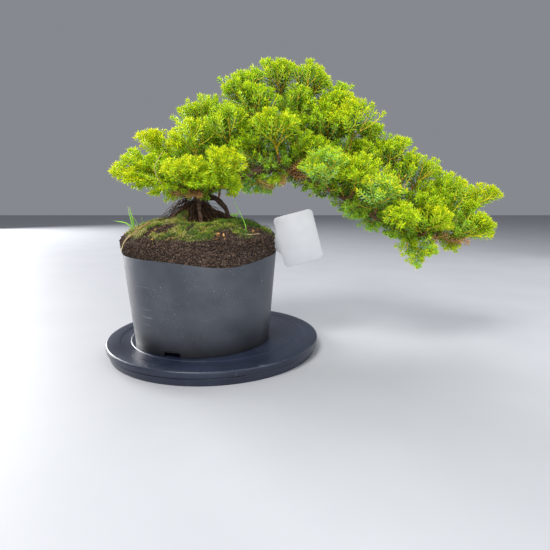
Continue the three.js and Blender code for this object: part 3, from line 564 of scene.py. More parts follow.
def needle_look(name, bloom, cool, pale):
    """Needles: tint red is how fresh they look, with painted shade and painted light in it, green differs
    from shoot to shoot, blue marks stems, alpha the pale band. bloom is how waxy old needles are, cool how
    blue, and pale the colour of the wax."""
    look = Look(name, Roughness=0.45, Specular_IOR_Level=0.2, Subsurface_Weight=0.15)
    look.set("Subsurface Scale", 1.0 * MM)
    look.set("Subsurface Radius", (1.0, 1.0, 0.2))
    fresh, lot, stem, band = look.tint()
    cloud = look.spread(look.noise(16, detail=2), 0.3, 0.7, -0.05, 0.05)
    warmth = look.maths("ADD", fresh, look.maths("ADD", cloud, look.spread(lot, 0, 1, -0.2, 0.2)))
    # Its darkest stops are near black: the darker green of old needles, with painted shade deep in the
    # crowns.
    green = look.ramp(
        warmth, (0.0, (0.003, 0.012, 0.001)), (0.28, (0.028, 0.10, 0.003)), (0.47, (0.24, 0.48, 0.004)),
        (0.76, (0.46, 0.66, 0.005)), (1.0, (0.66, 0.66, 0.008)),
    )
    cooled = look.mix(look.spread(warmth, 1.0, 0.35, 0, cool), green, (0.16, 0.56, 0.09, 1))
    old_bloom = look.spread(warmth, 0.8, 0.25, 0.02, bloom)
    waxy = look.maths("MULTIPLY", old_bloom, look.spread(warmth, 0, 0.25, 0.3, 1))
    face = look.maths("MULTIPLY", look.spread(band, 0.75, 0.98), waxy)
    blade = look.mix(face, cooled, (*pale, 1))
    twig = look.ramp(
        fresh, (0.0, (0.30, 0.13, 0.02)), (0.25, (0.60, 0.38, 0.03)), (0.6, (0.70, 0.60, 0.03)),
        (1.0, (0.56, 0.68, 0.02)),
    )
    look.set("Base Color", look.mix(stem, blade, twig))
    look.bump(look.noise(0.5, detail=1), 0.05)
    return look.material


def dry_look():
    """Dead needles, straw and bark chips.
    Tint red runs from rust to straw, green differs from one to the next."""
    look = Look("dry_litter", Roughness=0.75, Specular_IOR_Level=0.3)
    kind, lot, _, _ = look.tint()
    streak = look.spread(look.noise(1.4, detail=3), 0.3, 0.7, 0.62, 1.1)
    rust = look.ramp(lot, (0.0, (0.10, 0.032, 0.010)), (0.5, (0.30, 0.10, 0.025)), (1.0, (0.60, 0.31, 0.07)))
    straw = look.ramp(lot, (0.0, (0.30, 0.20, 0.09)), (1.0, (0.62, 0.50, 0.27)))
    tone = look.mix(kind, rust, straw)
    scaled = look.node("ShaderNodeVectorMath", {0: tone}, operation="SCALE")
    look.feed(scaled.inputs["Scale"], streak)
    look.set("Base Color", scaled.outputs["Vector"])
    look.bump(look.noise(0.9, detail=3), 0.15)
    return look.material


def moss_look():
    """Moss and grass: tint red is height up the shoot, green the kind, from dark green to straw yellow."""
    look = Look("moss_green", Roughness=0.6, Specular_IOR_Level=0.3)
    height, lot, _, _ = look.tint()
    patch = look.spread(look.noise(9, detail=3), 0.32, 0.68, -0.25, 0.25)
    kind = look.maths("ADD", lot, patch)
    tip = look.ramp(
        kind, (0.0, (0.04, 0.14, 0.008)), (0.35, (0.13, 0.27, 0.012)), (0.6, (0.28, 0.34, 0.022)),
        (0.8, (0.43, 0.37, 0.05)), (1.0, (0.58, 0.52, 0.24)),
    )
    look.set("Base Color", look.mix(look.spread(height, 0, 0.9), (0.035, 0.055, 0.01, 1), tip))
    return look.material


def grass_look():
    look = Look("grass_blade", Roughness=0.45, Specular_IOR_Level=0.4)
    height, lot, _, _ = look.tint()
    veins = look.spread(look.noise(1.2, detail=3), 0.3, 0.7, -0.12, 0.12)
    tone = look.ramp(
        look.maths("ADD", height, veins), (0.0, (0.42, 0.50, 0.16)), (0.3, (0.24, 0.56, 0.03)),
        (0.8, (0.36, 0.76, 0.05)), (1.0, (0.55, 0.62, 0.14)),
    )
    look.set("Base Color", look.mix(look.spread(lot, 0, 1, 0, 0.5), tone, (0.06, 0.16, 0.03, 1)))
    look.bump(look.noise(0.6, detail=2), 0.08)
    return look.material


def label_look():
    """White plastic sheet: faint smudges, and soil by its neck, where tint red is 1."""
    look = Look("label_sheet", Specular_IOR_Level=0.5)
    cloud = look.noise(14, detail=4)
    white = look.ramp(cloud, (0.32, (0.455, 0.465, 0.49)), (0.7, (0.49, 0.50, 0.53)))
    dirty, _, _, _ = look.tint()
    smear = look.spread(look.noise(1.6, detail=4), 0.52, 0.64)
    soiled = look.maths("MULTIPLY", look.maths("MULTIPLY", dirty, smear), 0.6)
    look.set("Base Color", look.mix(soiled, white, (0.20, 0.16, 0.10, 1)))
    look.set("Roughness", look.spread(cloud, 0.3, 0.7, 0.34, 0.5))
    look.bump(look.noise(6, detail=2), 0.03)
    return look.material


def cloudy(name, size, tones, roughness, detail=3, **values):
    """A material whose tone and roughness run between two values, in clouds of about size millimetres."""
    look = Look(name, **values)
    cloud = look.noise(size, detail=detail)
    look.set("Base Color", look.ramp(cloud, *zip((0.3, 0.7), tones)))
    look.set("Roughness", look.spread(cloud, 0.3, 0.7, *roughness))
    return look


def rubber_look():
    look = cloudy("grip_rubber_matte", 5, ((0.012, 0.012, 0.012), (0.03, 0.03, 0.03)), (0.8, 0.95), detail=4)
    look.bump(look.noise(0.6, detail=2), 0.06)
    return look.material


DISC = plastic("disc_satin", (0.007, 0.010, 0.023), (0.015, 0.021, 0.044), 0.34, (0.20, 0.22, 0.28))
POT_LOOK = plastic(
    "pot_satin", (0.030, 0.035, 0.046), (0.060, 0.068, 0.086), 0.38, (0.28, 0.30, 0.34), grain=0.05,
)
PEAT = peat()
BARK = bark()
NEEDLES = needle_look("needles_lime", 0.4, 0.08, (0.46, 0.70, 0.10))
NEEDLES_BLUE = needle_look("needles_blue", 0.8, 0.6, (0.48, 0.84, 0.30))
DRY = dry_look()
MOSS = moss_look()
BLADE = grass_look()
LABEL_LOOK = label_look()
STEEL = cloudy(
    "ball_steel", 2.5, ((0.52, 0.52, 0.54), (0.66, 0.66, 0.68)), (0.16, 0.3), Metallic=1.0,
).material
RUBBER = rubber_look()
NYLON = cloudy("cage_nylon", 7, ((0.66, 0.66, 0.63), (0.78, 0.78, 0.76)), (0.45, 0.6)).material


# Turntable


def lower_disc():
    low = BALL["height"] - RACE["reach"]
    groove_in, groove_out, groove_top = GRIP["groove_in"], GRIP["groove_out"], GRIP["groove_top"]
    radius, top, web = BASE["radius"], BASE["top"], BASE["web"]
    profile = [
        (groove_in, 0), (groove_in, groove_top), (groove_out, groove_top), (groove_out, 0), (BASE["foot"], 0),
        (radius, top - BASE["chamfer"]), (radius - BASE["chamfer"], top), (radius - BASE["rim"], top),
        (radius - BASE["rim"], web), (RACE_OUT, web), (RACE_OUT, low),
        (RACE["radius"], BALL["height"] - RACE["groove"]), (RACE_IN, low), (RACE_IN, web),
        (HUB["radius"], web), (HUB["radius"], HUB["top"]), (HUB["pin"], HUB["top"]),
        (HUB["pin"], HUB["floor"]), (1, HUB["floor"]),
    ]
    shape = Shape()
    lathe(shape, np.vstack([[(1, 0)], soften(profile, 0.5)]))
    shape.piece("lower_disc", "base", DISC, ["turntable_base"])


def upper_disc():
    high = BALL["height"] + RACE["reach"]
    radius, top, under = PLATE["radius"], PLATE["top"], PLATE["top"] - PLATE["web"]
    sunk = top - BAND["depth"]
    score = {"half": 0.6, "depth": 0.25}
    profile = [
        (HUB["pin"], high), (HUB["radius"], high), (HUB["radius"], under), (RACE_IN, under), (RACE_IN, high),
        (RACE["radius"], BALL["height"] + RACE["groove"]), (RACE_OUT, high), (RACE_OUT, under),
        (radius - PLATE["rim"], under), (radius - PLATE["rim"], PLATE["bottom"]), (radius, PLATE["bottom"]),
        (radius, top - PLATE["chamfer"]), (radius - PLATE["chamfer"], top), (BAND["outer"], top),
        (BAND["outer"] - BAND["slope"], sunk), (BAND["inner"] + BAND["slope"], sunk), (BAND["inner"], top),
        (BAND["ring"] + score["half"], top), (BAND["ring"], top - score["depth"]),
        (BAND["ring"] - score["half"], top), (HUB["head"], top), (HUB["head"], top - HUB["recess"]),
        (HUB["pin"], top - HUB["recess"]),
    ]
    shape = Shape()
    lathe(shape, soften(profile, 0.6, closed=True), closed=True)
    shape.piece("upper_disc", "turntable", DISC, ["turntable_plate"])


def grip_ring():
    inner, outer, top = GRIP["inner"], GRIP["outer"], GRIP["top"]
    shape = Shape()
    lathe(shape, soften([(inner, 0), (outer, 0), (outer, top), (inner, top)], 0.3, closed=True), closed=True)
    shape.piece("grip_ring", "base", RUBBER, ["anti_slip_ring"])


def pivot():
    """The pin, with a sunk middle in its head."""
    foot = HUB["floor"] + HUB["gap"]
    under = PLATE["top"] - HUB["recess"] + HUB["gap"]
    neck, head = HUB["pin"] - HUB["gap"], HUB["head"] - HUB["gap"]
    top = under + HUB["head_depth"]
    profile = [
        (1, foot), (neck, foot), (neck, under), (head, under), (head, top),
        (2, top), (1.4, top - 0.8), (0.5, top - 0.8),
    ]
    shape = Shape()
    lathe(shape, soften(profile, 0.4), sides=64)
    shape.piece("pivot", "base", STEEL, ["pivot_pin"])


def ball_places():
    """The middle of each ball, round the swivel axis."""
    for k in range(BALL["count"]):
        angle = 2 * math.pi * k / BALL["count"]
        yield np.array([RACE["radius"] * math.cos(angle), RACE["radius"] * math.sin(angle), BALL["height"]])


def bearing():
    rows, sides = 14, 28
    slope = np.linspace(-math.pi / 2, math.pi / 2, rows + 1)[1:-1]
    ball = np.stack([np.cos(slope), np.sin(slope)], axis=1) * BALL["radius"]
    for k, place in enumerate(ball_places()):
        shape = Shape()
        lathe(shape, ball, sides)
        shape.points[0] = shape.points[0] + place
        shape.piece(f"ball_{k + 1}", "base", STEEL, [f"bearing_ball_{k + 1}"])


def cage():
    """The ball cage: a flat ring with a round hole for each ball, cut through it."""
    inner, outer = RACE["radius"] - CAGE["half"], RACE["radius"] + CAGE["half"]
    low, high = BALL["height"] - CAGE["thick"] / 2, BALL["height"] + CAGE["thick"] / 2
    shape = Shape()
    profile = [(inner, low), (outer, low), (outer, high), (inner, high)]
    lathe(shape, soften(profile, 0.3, closed=True), sides=120, closed=True)
    made = shape.piece("ball_cage", "base", NYLON, ["bearing_cage"])
    cutter = Shape()
    for place in ball_places():
        bore(cutter, place * (1, 1, 0), CAGE["hole"], low - 1, high + 1)
    cut(made, cutter)


def bore(cutter, spot, radius, low, high, sides=32):
    """Adds an upright cylinder to a cutter."""
    cutter.add(turned_points([(radius, low), (radius, high)], sides) + spot, solid_faces(2, sides))


def cut(made, cutter):
    """Cuts a cutter's shape out of a piece."""
    mesh = bpy.data.meshes.new("cutter")
    points = np.concatenate(cutter.points) * MM
    mesh.from_pydata(points.tolist(), [], [row.tolist() for f in cutter.faces for row in f])
    tool = bpy.data.objects.new("cutter", mesh)
    bpy.context.scene.collection.objects.link(tool)
    step = made.modifiers.new("cut", "BOOLEAN")
    step.operation = "DIFFERENCE"
    step.solver = "EXACT"
    step.object = tool
    graph = bpy.context.evaluated_depsgraph_get()
    result = bpy.data.meshes.new_from_object(made.evaluated_get(graph))
    made.modifiers.clear()
    made.data = result
    result.set_sharp_from_angle(angle=math.radians(35))
    bpy.data.objects.remove(tool)
    bpy.data.meshes.remove(mesh)


# Pot


def pot_radius(z):
    return POT["foot"] + POT["taper"] * (z - PLATE["top"])


def front_angle(x, y):
    """Degrees from the front, positive towards +X."""
    return np.degrees(np.arctan2(x, -y))


def rim_height(angle):
    """The hand-cut rim: level, with one long dip at the front right."""
    dip = RIM["dip_depth"] * np.exp(-(((angle - RIM["dip_angle"]) / RIM["dip_width"]) ** 2))
    return PLATE["top"] + RIM["height"] - dip + RIM["ripple"] * np.sin(np.radians(3 * angle))


def pot():
    sides = 256
    foot, wall, hub = PLATE["top"], POT["wall"], 4.0
    floor = foot + FLOOR["height"]
    inside = floor + FLOOR["thick"]
    angles = circle(sides)
    direction = np.stack([np.cos(angles), np.sin(angles)], axis=1)
    around = front_angle(direction[:, 0], direction[:, 1])
    knife = 0.35 * rough(np.column_stack([direction * POT["foot"], np.zeros(sides)]), 9.0)
    rim = rim_height(around) + knife
    beneath = [
        (hub, floor), (pot_radius(floor) - wall - FLOOR["skirt"], floor), (pot_radius(foot) - wall, foot),
        (pot_radius(foot) - 0.3, foot),
    ]
    outside = [(pot_radius(z), z) for z in (foot + 0.3, foot + 3, foot + 8, foot + 20, foot + 45, foot + 70)]
    lip = [
        (pot_radius(rim - 0.6), rim - 0.6), (pot_radius(rim - 0.15) - 0.1, rim - 0.12),
        (pot_radius(rim) - 0.5, rim), (pot_radius(rim) - wall + 0.2, rim - 0.1),
        (pot_radius(rim) - wall, rim - 0.5),
    ]
    rings = [*beneath, *outside, *lip, (pot_radius(inside) - wall, inside), (hub, inside)]
    rows = []
    for r, z in rings:
        reach, height = np.broadcast_to(r, sides), np.broadcast_to(z, sides)
        rows.append(np.column_stack([direction * reach[:, None], height]))
    points = np.concatenate(rows) + (POT["x"], POT["y"], 0)
    tint = np.zeros((len(points), 4))
    # Painted shade and a painted reflection of the disc: tint red rises towards the pot's foot.
    tint[:, 0] = np.clip((foot + POT_SHADE_HEIGHT - points[:, 2]) / POT_SHADE_HEIGHT, 0, 1)
    shape = Shape()
    shape.add(points, solid_faces(len(rings), sides), tint)
    made = shape.piece("nursery_pot", "turntable", POT_LOOK, ["pot"])
    cutter = Shape()
    for k in range(NOTCH["count"]):
        notch(cutter, math.radians(NOTCH["first"] + 360 * k / NOTCH["count"]))
    for k in range(DRAIN["count"]):
        angle = 2 * math.pi * k / DRAIN["count"]
        away = np.array([DRAIN["ring"] * math.cos(angle), DRAIN["ring"] * math.sin(angle), 0])
        bore(cutter, away + (POT["x"], POT["y"], 0), DRAIN["radius"], floor - 1, inside + 1)
    cut(made, cutter)


def notch(cutter, angle):
    """Adds a drainage notch's block to a cutter: a low arch with rounded upper corners."""
    half, corner = NOTCH["width"] / 2, NOTCH["corner"]
    turn = np.linspace(0, math.pi / 2, 6)
    across, up = half - corner + corner * np.cos(turn), NOTCH["height"] - corner + corner * np.sin(turn)
    right = np.stack([across, up], axis=1)
    arch = np.vstack([[(half, -2)], right, right[::-1] * (-1, 1), [(-half, -2)]])
    radii = (POT["foot"] - 6, POT["foot"] + 6)
    slab = [np.column_stack([arch[:, 0], np.full(len(arch), -r), arch[:, 1] + PLATE["top"]]) for r in radii]
    points = np.vstack(slab)
    c, s = math.cos(angle), math.sin(angle)
    points[:, :2] = points[:, :2] @ np.array([(c, s), (-s, c)])
    cutter.add(points + (POT["x"], POT["y"], 0), solid_faces(2, len(arch)))


# Root ball


def round_pot(reach, angle):
    """x and y at distances from the pot's axis, at angles from +X."""
    return POT["x"] + reach * np.cos(angle), POT["y"] + reach * np.sin(angle)


def scattered(rng, count, radius):
    """x and y of spots strewn evenly over a disc about the pot's axis."""
    reach = radius * np.sqrt(rng.uniform(0, 1, count))
    return round_pot(reach, rng.uniform(0, 2 * math.pi, count))


def soil_top(x, y):
    """Height of the soil at a point of the frame."""
    px, py = x - POT["x"], y - POT["y"]
    dome = SOIL["dome"] * (1 - (np.hypot(px, py) / SOIL["shoulder"]) ** 4)
    hollow = np.hypot(x - HOLLOW["x"], y - HOLLOW["y"]) / HOLLOW["width"]
    lumps = np.sin(0.13 * px + 1) * np.sin(0.11 * py + 2) + 0.5 * np.sin(0.31 * px - 0.27 * py)
    return SOIL["edge"] + dome + lumps - HOLLOW["depth"] * np.exp(-(hollow**2))


# Spots with no moss: x, y and size
BARE = [(-41, -68, 13), (-6, -40, 9), (52, -50, 13), (66, 10, 18), (24, -84, 9), (-20, 60, 14), (-84, -30, 9)]
# Spots of painted shade on the soil, in its shadowed hollows and beneath the trunk, as the bare ones
SHADED_SPOTS = [(-41, -68, 11), (-8, -36, 12), (8, -14, 20)]
# Rows of points between the stations of the root ball's side
CLIFF_ROWS = (5, 5, 9, 3, 1)
MOUND = {"x": -24, "y": -29, "height": 12, "width": 10}


def mound(x, y):
    """Extra height of the moss that climbs the roots."""
    away = np.hypot(x - MOUND["x"], y - MOUND["y"]) / MOUND["width"]
    return MOUND["height"] * np.exp(-(away**2))


def patchy(x, y, size, seed):
    """Smooth noise over the ground, from -1 to 1, with lumps of about that size."""
    return rough(np.column_stack([x, y, np.zeros_like(x)]), size, seed)


def mossiness(x, y):
    """How mossy the soil is at a point of the frame, from 0 to 1."""
    reach = np.hypot(x - POT["x"], y - POT["y"])
    cover = 0.85 + 0.8 * patchy(x, y, 17.0, 3.7) - np.clip((reach - 80) / 8, 0, 1) + 0.1 * mound(x, y)
    for bx, by, size in BARE:
        cover = cover - 2.2 * np.exp(-(((x - bx) ** 2 + (y - by) ** 2) / size**2))
    return np.clip(cover, 0, 1)


def cliff_profile(angle):
    """Radius and height of the root ball's side, from its shoulder to the pot's floor, at angles from +X."""
    c = np.cos(angle)
    rim = rim_height(front_angle(c, np.sin(angle)))
    bulge = 1.6 - 2.2 * c + 0.7 * np.sin(5 * angle)
    inner = POT["wall"] + SOIL["gap"]
    floor = PLATE["top"] + FLOOR["height"] + FLOOR["thick"] + SOIL["gap"]
    shoulder, edge = SOIL["shoulder"], SOIL["edge"]
    full = np.ones_like(angle)
    return [
        (shoulder * full, soil_top(*round_pot(shoulder, angle))),
        (shoulder + bulge, (edge - 5) * full), (shoulder + 0.8 * bulge, (edge - 11) * full),
        (pot_radius(rim) - inner, rim + 1.2), (pot_radius(rim - 6) - inner, rim - 6),
        (pot_radius(floor) * full - inner, floor * full),
    ]


def root_ball():
    """Soil: a low dome, a crumbling side above the rim, and the plain part inside the pot."""
    sides, dome_rows = 230, 36
    angle = circle(sides)
    rows = []
    for radius in np.linspace(1.5, SOIL["shoulder"] - 2, dome_rows):
        x, y = round_pot(radius, angle)
        rows.append(np.column_stack([x, y, soil_top(x, y)]))
    stations = cliff_profile(angle)
    for (r0, z0), (r1, z1), count in zip(stations, stations[1:], CLIFF_ROWS):
        for share in np.arange(count) / count:
            rows.append(np.column_stack([*round_pot(blend(r0, r1, share), angle), blend(z0, z1, share)]))
    r, z = stations[-1]
    rows.append(np.column_stack([*round_pot(r, angle), z]))
    points = np.concatenate(rows[::-1])
    outward = unit(points - SOIL_HEART)
    x, y, z = points.T
    bare = z > rim_height(front_angle(x - POT["x"], y - POT["y"])) - 1
    moss = mossiness(x, y) * (z > SOIL["edge"])
    crumble = 1.5 * rough(points, 7.0) + 1.5 * np.maximum(0, rough(points, 2.6, 9.1)) - 0.5
    crumble = crumble + 0.6 * rough(points, 1.3, 4.2)
    rise = mound(x, y) * (z > SOIL["edge"])
    lift = (crumble * (1 - 0.6 * moss) + 1.8 * moss + rise) * bare
    points = points + outward * lift[:, None]
    tint = np.zeros((len(points), 4))
    tint[:, 0] = moss
    # Tint blue is painted shade on the top of the soil.
    for x, y, size in SHADED_SPOTS:
        away = np.hypot(points[:, 0] - x, points[:, 1] - y) / size
        tint[:, 2] += np.exp(-(away**2)) * (points[:, 2] > SOIL["edge"])
    shape = Shape()
    shape.add(points, solid_faces(len(rows), sides), tint)
    crumbs(shape)
    shape.piece("potting_soil", "turntable", PEAT, ["root_ball"], sharp=50)


OCTAHEDRON = np.array([(1, 0, 0), (-1, 0, 0), (0, 1, 0), (0, -1, 0), (0, 0, 1), (0, 0, -1)], float)
OCTAHEDRON_FACES = np.array(
    [(0, 2, 4), (2, 1, 4), (1, 3, 4), (3, 0, 4), (2, 0, 5), (1, 2, 5), (3, 1, 5), (0, 3, 5)]
)


def crumbs(shape):
    """Grains of peat and bits of bark on the soil's side and on its top where no moss grows."""
    rng = np.random.default_rng(SEEDS["crumbs"])
    count = 4300
    angle = rng.uniform(0, 2 * math.pi, count)
    stations = cliff_profile(angle)
    place = rng.uniform(0, 3.1, count)
    low = np.minimum(place.astype(int), 3)
    radii, heights = (np.array(part) for part in zip(*stations))
    pick = np.arange(count)
    r = blend(radii[low, pick], radii[low + 1, pick], place - low)
    z = blend(heights[low, pick], heights[low + 1, pick], place - low)
    side = np.column_stack([*round_pot(r, angle), z])
    x, y = round_pot(SOIL["shoulder"] * np.sqrt(rng.uniform(0, 1, count)), angle)
    top = np.column_stack([x, y, soil_top(x, y)])
    top = top[mossiness(x, y) < rng.uniform(0.1, 0.9, count)]
    spots = np.vstack([side, top])
    outward = unit(spots - SOIL_HEART)
    total = len(spots)
    size = 0.45 + 1.0 * rng.random(total) ** 2.5
    size[rng.random(total) < 0.04] *= 1.7
    grains = OCTAHEDRON[None] * rng.uniform(0.6, 1.25, (total, 6, 1)) + rng.uniform(-0.3, 0.3, (total, 6, 3))
    spin = np.linalg.qr(rng.normal(size=(total, 3, 3)))[0]
    grains = np.einsum("nij,nkj->nki", spin, grains * (1, 1, 0.65)) * size[:, None, None]
    lifted = spots + outward * rng.uniform(0.2, 1.4, total)[:, None]
    points = (grains + lifted[:, None]).reshape(-1, 3)
    lot = np.where(rng.random(total) < 0.16, rng.uniform(0.4, 1.0, total), rng.uniform(0, 0.15, total))
    tint = np.zeros((total, 6, 4))
    tint[:, :, 1] = lot[:, None]
    shape.add(points, [copied_faces(OCTAHEDRON_FACES, 6, total)], tint.reshape(-1, 4))


def ground(spots):
    """The points of the soil's surface at spots (x, y) of the frame."""
    x, y = spots[:, 0], spots[:, 1]
    return np.column_stack([x, y, soil_top(x, y)])


def on_soil(point, depth=0.0):
    """The point moved to the soil's surface, or to a depth beneath it."""
    return np.array([point[0], point[1], soil_top(point[0], point[1]) - depth])


SPIKE_FACES = np.array([(0, 1, 3), (1, 2, 3), (2, 0, 3), (0, 2, 1)])
# A direction that no spike points in
SPIKE_ASKEW = (0.37, 0.61, 0.7)


def spikes(shape, feet, ahead, length, width, tint):
    """Slim three-sided spikes, one a row of feet. Tint red is 0 at the foot and 1 at the tip."""
    side = unit(np.cross(ahead, SPIKE_ASKEW))
    other = np.cross(ahead, side)
    corners = []
    for k in range(3):
        turn = 2 * math.pi * k / 3
        corners.append(feet + (side * math.cos(turn) + other * math.sin(turn)) * (width / 2)[:, None])
    points = np.stack([*corners, feet + ahead * length[:, None]], axis=1)
    tints = np.repeat(tint[:, None], 4, axis=1)
    tints[:, :3, 0] = 0
    tints[:, 3, 0] = 1
    shape.add(points.reshape(-1, 3), [copied_faces(SPIKE_FACES, 4, len(feet))], tints.reshape(-1, 4))


def moss():
    """Cushions of moss: spikes that lean out from the middle of each small tuft, paler towards the left."""
    rng = np.random.default_rng(SEEDS["moss"])
    count = 2500
    per = 12
    x, y = scattered(rng, count, SOIL["shoulder"] - 1)
    cover = mossiness(x, y)
    clump = patchy(x, y, 5.5, 2.2)
    kept = cover * (1 + 1.1 * clump) > rng.uniform(0.15, 0.85, count)
    x, y, cover, clump = x[kept], y[kept], cover[kept], clump[kept]
    tufts = len(x)
    size = rng.uniform(1.4, 3.2, tufts)
    off = rng.normal(0, 0.6, (tufts, per, 2)) * size[:, None, None]
    feet = ground((np.stack([x, y], axis=1)[:, None] + off).reshape(-1, 2)).reshape(tufts, per, 3)
    feet[:, :, 2] += mound(feet[:, :, 0], feet[:, :, 1])
    feet[:, :, 2] += (1.5 * cover + 0.3 * size + 1.4 * clump)[:, None] - 0.08 * (off**2).sum(axis=2)
    lean = np.concatenate([off * 0.3 + rng.normal(0, 0.5, off.shape), np.full((tufts, per, 1), 1.0)], axis=2)
    side = np.clip((10 - x) / 90, -0.4, 1)
    patch = patchy(x, y, 13.0, 8.8)
    lot = 0.44 + 0.38 * side + 0.5 * patch + rng.normal(0, 0.1, tufts)
    lot = np.clip(lot[:, None] + rng.normal(0, 0.12, (tufts, per)), 0, 1)
    tint = np.zeros((tufts * per, 4))
    tint[:, 1] = lot.ravel()
    total = tufts * per
    shape = Shape()
    length, width = rng.uniform(1.6, 4.2, total), rng.uniform(0.6, 1.15, total)
    spikes(shape, feet.reshape(-1, 3), unit(lean.reshape(-1, 3)), length, width, tint)
    shape.piece("moss", "turntable", MOSS, smooth=False)


# Wood


def girth(radii, share):
    """A branch's radius at a share of its length."""
    return blend(radii[0], radii[1], np.minimum(1, share * 1.15) ** 0.75)


def bark_relief(points):
    """Long flakes and fine cracks of bark."""
    return 0.45 * rough(points, 4.5) + 0.3 * np.abs(rough(points, 1.7, 6.3)) - 0.1


def branch(shape, path, radii, sides, age, damp, step=1.3):
    """A branch in bark, with the gnarls that the CAD wood has and finer ones."""
    curve = through(path, 200)
    rows = max(6, round(length_of(curve) / step))
    curve = evenly(curve, rows)
    share = np.linspace(0, 1, rows)
    wobble = np.column_stack([rough(curve, 11.0, k * 5.1) for k in (1, 2, 3)])
    curve = curve + wobble * (np.sin(math.pi * share) * 0.35 * girth(radii, share))[:, None]
    radius = girth(radii, share) * (1 + 0.05 * np.sin(41 * share) + 0.05 * np.sin(17 * share + 1))
    tint = np.zeros((rows, 4))
    tint[:, 0] = np.clip(age - 0.3 * share, 0, 1)
    tint[:, 1] = damp
    tube(shape, curve, radius, sides, tint, bark_relief)


def crown_twig(start, base, tip):
    onward = unit(tip - base)
    knee = base - onward * 0.4 * np.linalg.norm(base - start)
    return arc(start, knee, base, 14)


def twigs():
    """The twig that carries each crown."""
    return [crown_twig(*np.array([start, base, tip], float)) for _, start, base, tip, _ in CROWNS]


def wood():
    shape = Shape()
    curve = through(TRUNK["path"], 320)
    rows = len(curve)
    share = np.linspace(0, 1, rows)
    height = curve[:, 2]
    flare = 1 + 0.5 * np.exp(-(((height - 158) / 9) ** 2)) * (share < 0.25)
    gnarls = 1 + 0.07 * np.sin(41 * share) + 0.05 * np.sin(90 * share)
    radius = girth(TRUNK["radii"], share) * gnarls * flare
    tint = np.zeros((rows, 4))
    tint[:, 0] = 1 - 0.55 * share
    tint[:, 1] = np.clip((178 - height) / 8, 0, 1) * (share < 0.3)
    tube(shape, curve, radius, 22, tint, bark_relief)
    for bough in BOUGHS:
        branch(shape, bough["path"], bough["radii"], 14, 0.7, 0.15)
    for k, root in enumerate(ROOTS):
        branch(shape, root["path"], root["radii"], 14, 0.9, 0.8 if k else 0.25)
    for stub in STUBS:
        branch(shape, stub["path"], stub["radii"], 10, 0.35, 0.1)
    for curve in twigs():
        share = np.linspace(0, 1, len(curve))
        tube(shape, curve, girth(TWIG_RADII, share), 8, (0.25, 0.1, 0, 0), bark_relief)
    root_mass(shape)
    shape.piece("juniper_wood", "turntable", BARK, ["trunk_and_branches"], sharp=60)


def root_mass(shape):
    """The tangle of dark roots that carries the trunk above the soil: thick ones, then thin ones over
    them."""
    rng = np.random.default_rng(SEEDS["root_mass"])
    count, thick_ones = 110, 44
    for k in range(count):
        thin = k >= thick_ones
        angle = k * GOLDEN
        out = np.array([math.cos(angle), math.sin(angle), 0])
        start = TRUNK_FOOT + (0, 0, rng.uniform(150, 178)) + out * (8 if thin else 5)
        foot = on_soil(TRUNK_FOOT + out * rng.uniform(14, 42 if thin else 34) * (1, 0.9, 0), 3)
        knee = blend(start, foot, 0.45) + out * rng.uniform(2, 9) + (0, 0, rng.uniform(1, 9))
        rows = 16 if thin else 22
        curve = arc(start, knee, foot, rows)
        curve = curve + meander(curve, 6.0, k, 4.5 if thin else 2.4)
        thick = rng.uniform(0.35, 0.8) if thin else rng.uniform(0.7, 2.1)
        radius = np.linspace(thick, thick * 0.5, rows)
        tube(shape, curve, radius, 5 if thin else 7, (0.6, rng.uniform(0.75, 1), 0, 0), bark_relief)


def meander(curve, size, seed, reach):
    """How far each point of a root strays: up to reach along each axis, and not at all at its ends."""
    sway = np.column_stack([rough(curve, size, seed + j * 3.3) for j in range(3)])
    return sway * reach * np.sin(np.linspace(0, math.pi, len(curve)))[:, None]


def hair_roots():
    """Hair-thin roots: round the trunk's foot, at the back right, at the left, and one over the rim."""
    rng = np.random.default_rng(SEEDS["hair_roots"])
    shape = Shape()
    for k in range(190):
        angle = rng.uniform(0, 2 * math.pi)
        out = np.array([math.cos(angle), math.sin(angle), 0])
        start = TRUNK_FOOT + (0, 0, rng.uniform(146, 174)) + out * rng.uniform(6, 14)
        foot = on_soil(TRUNK_FOOT + out * rng.uniform(16, 50))
        knee = blend(start, foot, 0.5) + out * rng.uniform(0, 12) + (0, 0, rng.uniform(-2, 12))
        hair(shape, arc(start, knee, foot, 16), rng.uniform(0.16, 0.42), k, 0.3, rng.uniform(0.3, 1))
    for k in range(26):
        start = on_soil((rng.uniform(26, 70), rng.uniform(-20, 34)), 0.5)
        end = on_soil(start + (rng.uniform(-22, 22), rng.uniform(-16, 10), 0), 0.5)
        knee = blend(start, end, 0.5) + (0, 0, rng.uniform(5, 14))
        hair(shape, arc(start, knee, end, 14), rng.uniform(0.18, 0.4), k + 100, 0.3, rng.uniform(0.7, 1))
    for k in range(54):
        start = np.array([rng.uniform(-26, -10), rng.uniform(-22, -12), rng.uniform(172, 185)])
        foot = on_soil((rng.uniform(-60, -22), rng.uniform(-38, 4)))
        knee = blend(start, foot, 0.4) + (rng.uniform(-8, 2), 0, rng.uniform(-4, 8))
        hair(shape, arc(start, knee, foot, 16), rng.uniform(0.18, 0.5), k + 300, 0.35, rng.uniform(0.3, 1))
    over = [(4, -86, 134), (5, -93.5, 125), (8, -94.6, 114), (9, -94.4, 104)]
    hair(shape, through(over, 24), 0.22, 200, 0.2, 0.35, sway=0.5)
    shape.piece("hair_roots", "turntable", BARK)


def hair(shape, curve, radius, seed, age, damp, sway=2.6):
    count = len(curve)
    curve = curve + meander(curve, 5.0, seed * 1.7, sway)
    tube(shape, curve, np.linspace(radius, radius * 0.6, count), 3, (age, damp, 0, 0))


# Leaves

